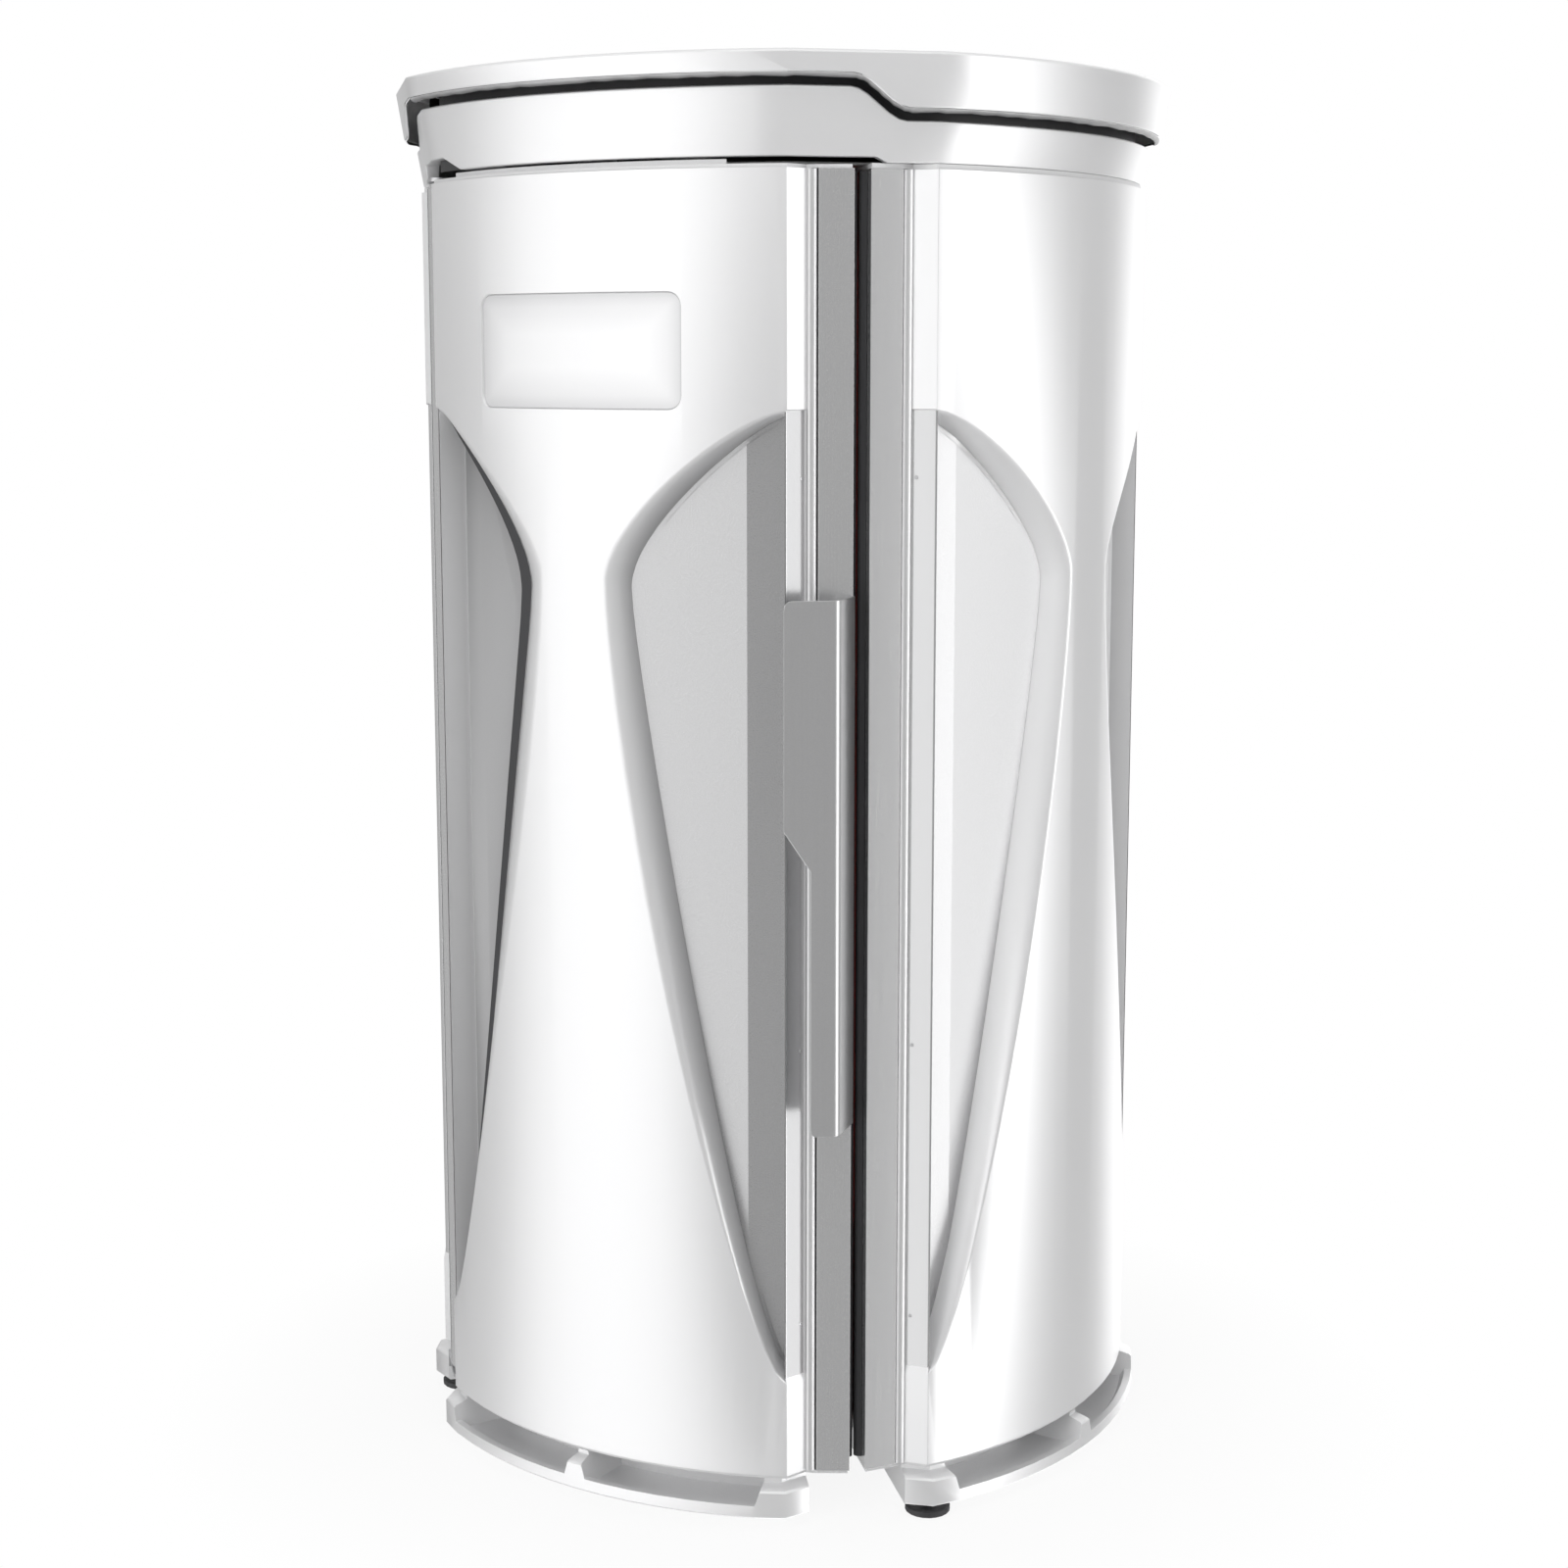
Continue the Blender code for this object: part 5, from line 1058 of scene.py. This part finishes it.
def scatter_tree():
    """Geometry nodes that put a shape on each point, turned to the point's own direction."""
    tree = bpy.data.node_groups.new("scatter", "GeometryNodeTree")
    for name, kind in (("Points", "Geometry"), ("Shape", "Object"), ("Finish", "Material")):
        tree.interface.new_socket(name, in_out="INPUT", socket_type="NodeSocket" + kind)
    tree.interface.new_socket("Pieces", in_out="OUTPUT", socket_type="NodeSocketGeometry")
    given = add_node(tree, "NodeGroupInput")
    facing = add_node(tree, "GeometryNodeInputNamedAttribute", {"data_type": "FLOAT_VECTOR"},
                      Name="facing")
    turn = add_node(tree, "FunctionNodeAlignRotationToVector", {"axis": "Z"}, Vector=out(tree, facing))
    shape = add_node(tree, "GeometryNodeObjectInfo", Object=out(tree, given, "Shape"))
    placed = add_node(tree, "GeometryNodeInstanceOnPoints", Points=out(tree, given, "Points"),
                      Instance=out(tree, shape, "Geometry"), Rotation=out(tree, turn))
    solid = add_node(tree, "GeometryNodeRealizeInstances", Geometry=out(tree, placed))
    painted = add_node(tree, "GeometryNodeSetMaterial", Geometry=out(tree, solid),
                       Material=out(tree, given, "Finish"))
    end = add_node(tree, "NodeGroupOutput")
    tree.links.new(painted.outputs[0], end.inputs[0])
    return tree


SCATTER = scatter_tree()


def scatter(name, slot, look, body, shape, spots):
    """One piece with a copy of a shape at each spot, a pair of place and direction."""
    mesh = bpy.data.meshes.new(name)
    mesh.from_pydata([place for place, _ in spots], [], [])
    facing = mesh.attributes.new("facing", "FLOAT_VECTOR", "POINT")
    facing.data.foreach_set("vector", [part for _, direction in spots for part in direction])
    obj = bpy.data.objects.new(name, mesh)
    bpy.context.scene.collection.objects.link(obj)
    obj["slot"] = slot
    nodes = obj.modifiers.new("scatter", "NODES")
    nodes.node_group = SCATTER
    given = {"Shape": shape, "Finish": LOOKS[look]}
    for item in SCATTER.interface.items_tree:
        if item.name in given:
            nodes[item.identifier] = given[item.name]
    return settle(bake_modifiers(obj), body)


def strip_spot(quarter, side, z):
    """Place and direction of a screw on a side strip."""
    start, along, inward = strip_frame()
    run = (FLAT_HALF - STRIP_SCREW_P) / -along[0]
    place = on_flat(*(start + run * along + inward * (STRIP_DEPTH - COVER)), side)
    return to_world(*place, z, quarter), to_world(*on_flat(*-inward, side), 0.0, quarter)


def lamp_spots(quarter, odd):
    """Every second place of the lamp grid on a board, facing the middle of the booth."""
    spots = []
    for row, z in enumerate(np.linspace(*LAMP_HEIGHTS, LAMP_ROWS)):
        for column, angle in enumerate(np.linspace(-LAMP_HALF, LAMP_HALF, LAMP_COLUMNS)):
            if (row + column) % 2 == odd:
                inward = to_world(-math.cos(angle), -math.sin(angle), 0.0, quarter)
                spots.append((to_world(*on_arc(angle, LAMP_R), z, quarter), inward))
    return spots


def mat_spots():
    """Places of the round studs on the floor mat."""
    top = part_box("floor_mat")[1][2]
    count = int(MAT_REACH / STUD_PITCH) + 1
    grid = [(i * STUD_PITCH + (j % 2) * STUD_PITCH / 2, j * STUD_PITCH * math.sqrt(0.75))
            for j in range(-count, count + 1) for i in range(-count, count + 1)]
    return [((x, y, top), (0.0, 0.0, 1.0)) for x, y in grid if math.hypot(x, y) < MAT_REACH]


def fittings():
    """Screws, lamps, mat studs, button rings and inlet pins."""
    shapes = {name: turned(name, sides, profile) for name, (sides, profile) in TURNED.items()}
    for quarter in QUARTERS:
        body = BODY_OF[quarter + "_shell"]
        spots = [strip_spot(quarter, side, z) for side in (-1, 1) for z in STRIP_SCREW_Z]
        scatter(quarter + "_screws", "zinc_steel", "screw_steel", body, shapes["screw"], spots)
        for odd, look in enumerate(("lamp_red", "lamp_clear")):
            spots = lamp_spots(quarter, odd)
            scatter(f"{quarter}_lamps_{odd}", "lamp_board", look, body, shapes["lens"], spots)
    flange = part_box("door_handle")[1][0]
    spots = [((flange, HANDLE_SCREW_Y, z), (1.0, 0.0, 0.0)) for z in HANDLE_SCREW_Z]
    scatter("handle_screws", "zinc_steel", "screw_steel", "door", shapes["screw"], spots)
    scatter("mat_studs", "grey_mat", "grey_mat", "cabin", shapes["stud"], mat_spots())
    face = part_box("control_panel")[0][0]
    rings = []
    for button in ("start_button", "stop_button"):
        low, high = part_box(button)
        middle = (face, (low[1] + high[1]) / 2, (low[2] + high[2]) / 2)
        rings.append((middle, (-1.0, 0.0, 0.0)))
    scatter("button_rings", "zinc_steel", "screw_steel", "cabin", shapes["ring"], rings)
    low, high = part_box("power_inlet")
    deep = high[1] - INLET_DEEP
    pins = [((x, deep, (low[2] + high[2]) / 2 + up), (0.0, 1.0, 0.0))
            for x, up in ((-INLET_PIN, -INLET_PIN / 3), (INLET_PIN, -INLET_PIN / 3), (0.0, INLET_PIN / 2))]
    scatter("inlet_pins", "zinc_steel", "zinc_steel", "cabin", shapes["pin"], pins)
    for shape in shapes.values():
        bpy.data.objects.remove(shape)


# Edge rounding of the rigid pieces, and the looks that differ from the slot's own
FINE_EDGE = 0.0006
BASE_EDGE = 0.0013
EDGE_ROUND = {"crown_cap": 0.0040, "crown_fascia": 0.0030, "door_handle": 0.0008}
EDGE_ROUND.update({name + "_base": BASE_EDGE for name in QUARTERS})
# the inserts' own looks are painted shade (door_insert_a) and painted light (front_right_insert_b)
OWN_LOOK = {
    "door_handle": "handle_satin",
    "door_insert_a": "insert_soft",
    "front_right_insert_b": "insert_pale",
}

for where in QUARTERS:
    shell = where + "_shell"
    panel_shell(where, shell, where == "door")
    for side, letter in ((-1, "a"), (1, "b")):
        side_covers(where, side, letter, BODY_OF[shell])
        recess_trims(where, side, letter, BODY_OF[shell])
groove_filter()
crown_lip()
name_plate()
door_top_trim()
screen()
fittings()

for node in NODES:
    if node.endswith("_shell"):
        continue
    if "_insert_" in node:
        smooth_to = BENT_SMOOTH_TO if node == "door_insert_a" else INSERT_SMOOTH_TO
        dress(node, look=OWN_LOOK.get(node), smooth_to=smooth_to)
        continue
    dress(node, EDGE_ROUND.get(node, FINE_EDGE), look=OWN_LOOK.get(node))


# Stage, light and camera

# Bright bands of the studio, by bearing in degrees from +X: start, stop, level and both fades
BANDS = ((44, 85, 2.0, 14, 14), (118, 140, 0.52, 12, 8), (182, 212, 1.55, 38, 34),
         (321, 338, 1.75, 9, 20), (323, 328, 2.2, 5, 8))
DARK_LEVEL = 0.42       # between the bands
TOP_LEVEL = 0.95        # overhead
TOP_FADE = (0.2, 0.6)   # upward part of a ray's direction, from the bands to the top
AMBIENT = 0.33
WHITE = (1.0, 1.0, 1.0, 1.0)
STAGE_RADIUS = 14.0
STAGE_SIDES = 64
STAGE_GREY = (0.92, 0.92, 0.92, 1.0)
STAGE_FADE = (0.60, 1.10)
STAGE_WHITE = (0.90, 1.0)
AIM = 1.1

# Softboxes: bearing in degrees from +X, distance, height, size and power in watts
SOFTBOXES = {
    "left_softbox": (228.0, 5.0, 1.8, (1.6, 3.2), 74.0),
    "right_softbox": (338.0, 5.0, 1.6, (1.6, 3.2), 56.0),
    "top_softbox": (262.0, 3.0, 4.5, (3.0, 3.0), 50.0),
}

# Camera, fitted to the photo
CAMERA_AT = Vector((-0.89421, -4.44069, 1.80859))
CAMERA_AHEAD = Vector((0.19528307, 0.96810404, -0.15696843))
CAMERA_LENS = 60.984
SENSOR = 36.0


def fade(tree, value, start, stop, first=0.0, last=1.0):
    """Smooth run of a value from one level to another."""
    made = add_node(tree, "ShaderNodeMapRange", {"interpolation_type": "SMOOTHSTEP"}, Value=value,
                    From_Min=start, From_Max=stop, To_Min=first, To_Max=last)
    return out(tree, made)


def world_light():
    """White for the camera, a studio of soft light bands for mirrors and glass, a plain level as light."""
    world = bpy.data.worlds.new("studio")
    bpy.context.scene.world = world
    world.use_nodes = True
    tree = world.node_tree
    tree.nodes.clear()
    path = add_node(tree, "ShaderNodeLightPath")
    seen = out(tree, path, "Is Camera Ray")
    mirrored = seen.math("MAXIMUM", out(tree, path, "Is Glossy Ray"), out(tree, path, "Is Transmission Ray"))
    ray = out(tree, add_node(tree, "ShaderNodeTexCoord"), "Generated")
    axes = add_node(tree, "ShaderNodeSeparateXYZ", Vector=ray)
    x = out(tree, axes, "X")
    y = out(tree, axes, "Y")
    bearing = x.math("ARCTAN2", 0.0 - y, 0.0 - x) * math.degrees(1.0) + 180.0
    studio = DARK_LEVEL
    for start, stop, strength, before, after in BANDS:
        rise = fade(tree, bearing, start - before, start)
        fall = fade(tree, bearing, stop, stop + after, 1.0, 0.0)
        studio = rise * fall * (strength - DARK_LEVEL) + studio
    up = fade(tree, out(tree, axes, "Z"), *TOP_FADE)
    studio = studio * (1.0 - up) + up * TOP_LEVEL
    light = seen + mirrored * studio + (1.0 - seen - mirrored) * AMBIENT
    back = add_node(tree, "ShaderNodeBackground", Color=WHITE, Strength=light)
    end = add_node(tree, "ShaderNodeOutputWorld")
    tree.links.new(back.outputs[0], end.inputs["Surface"])


def studio_floor():
    """Pale floor that keeps the shadow near the booth and runs out into the white behind it."""
    bm = bmesh.new()
    bmesh.ops.create_circle(bm, cap_ends=True, segments=STAGE_SIDES, radius=STAGE_RADIUS)
    mesh = bpy.data.meshes.new("studio_floor")
    bm.to_mesh(mesh)
    bm.free()
    floor = bpy.data.objects.new("studio_floor", mesh)
    bpy.context.scene.collection.objects.link(floor)
    look = bpy.data.materials.new("studio_floor")
    look.use_nodes = True
    tree = look.node_tree
    tree.nodes.clear()
    spot = out(tree, add_node(tree, "ShaderNodeTexCoord"), "Object")
    length = add_node(tree, "ShaderNodeVectorMath", {"operation": "LENGTH"}, Vector=spot)
    near, far = STAGE_FADE
    grey, plain = STAGE_WHITE
    share = out(tree, add_node(tree, "ShaderNodeMapRange", Value=out(tree, length, "Value"), From_Min=near,
                               From_Max=far, To_Min=grey, To_Max=plain))
    path = add_node(tree, "ShaderNodeLightPath")
    matt = add_node(tree, "ShaderNodeBsdfDiffuse", Color=STAGE_GREY)
    white = add_node(tree, "ShaderNodeEmission", Color=WHITE, Strength=1.0)
    mix = add_node(tree, "ShaderNodeMixShader")
    connect(tree, share * out(tree, path, "Is Camera Ray"), mix.inputs[0])
    tree.links.new(matt.outputs[0], mix.inputs[1])
    tree.links.new(white.outputs[0], mix.inputs[2])
    end = add_node(tree, "ShaderNodeOutputMaterial")
    tree.links.new(mix.outputs[0], end.inputs["Surface"])
    mesh.materials.append(look)
    floor.visible_glossy = False


def softbox(name, bearing, distance, height, size, power):
    """Area lamp at a compass bearing about the booth, in degrees from +X."""
    lamp = bpy.data.lights.new(name, "AREA")
    lamp.shape = "RECTANGLE"
    lamp.size, lamp.size_y = size
    lamp.energy = power
    obj = bpy.data.objects.new(name, lamp)
    bpy.context.scene.collection.objects.link(obj)
    angle = math.radians(bearing)
    spot = Vector((distance * math.cos(angle), distance * math.sin(angle), height))
    obj.location = spot
    obj.rotation_euler = (Vector((0.0, 0.0, AIM)) - spot).to_track_quat("-Z", "Y").to_euler()
    obj.visible_glossy = False


camera = bpy.data.objects.new("camera", bpy.data.cameras.new("camera"))
camera.data.lens = CAMERA_LENS
camera.data.sensor_width = SENSOR
camera.location = CAMERA_AT
camera.rotation_euler = CAMERA_AHEAD.to_track_quat("-Z", "Y").to_euler()
bpy.context.scene.collection.objects.link(camera)
bpy.context.scene.camera = camera
bpy.context.scene.view_settings.view_transform = "Standard"

world_light()
studio_floor()
for lamp_name, placing in SOFTBOXES.items():
    softbox(lamp_name, *placing)
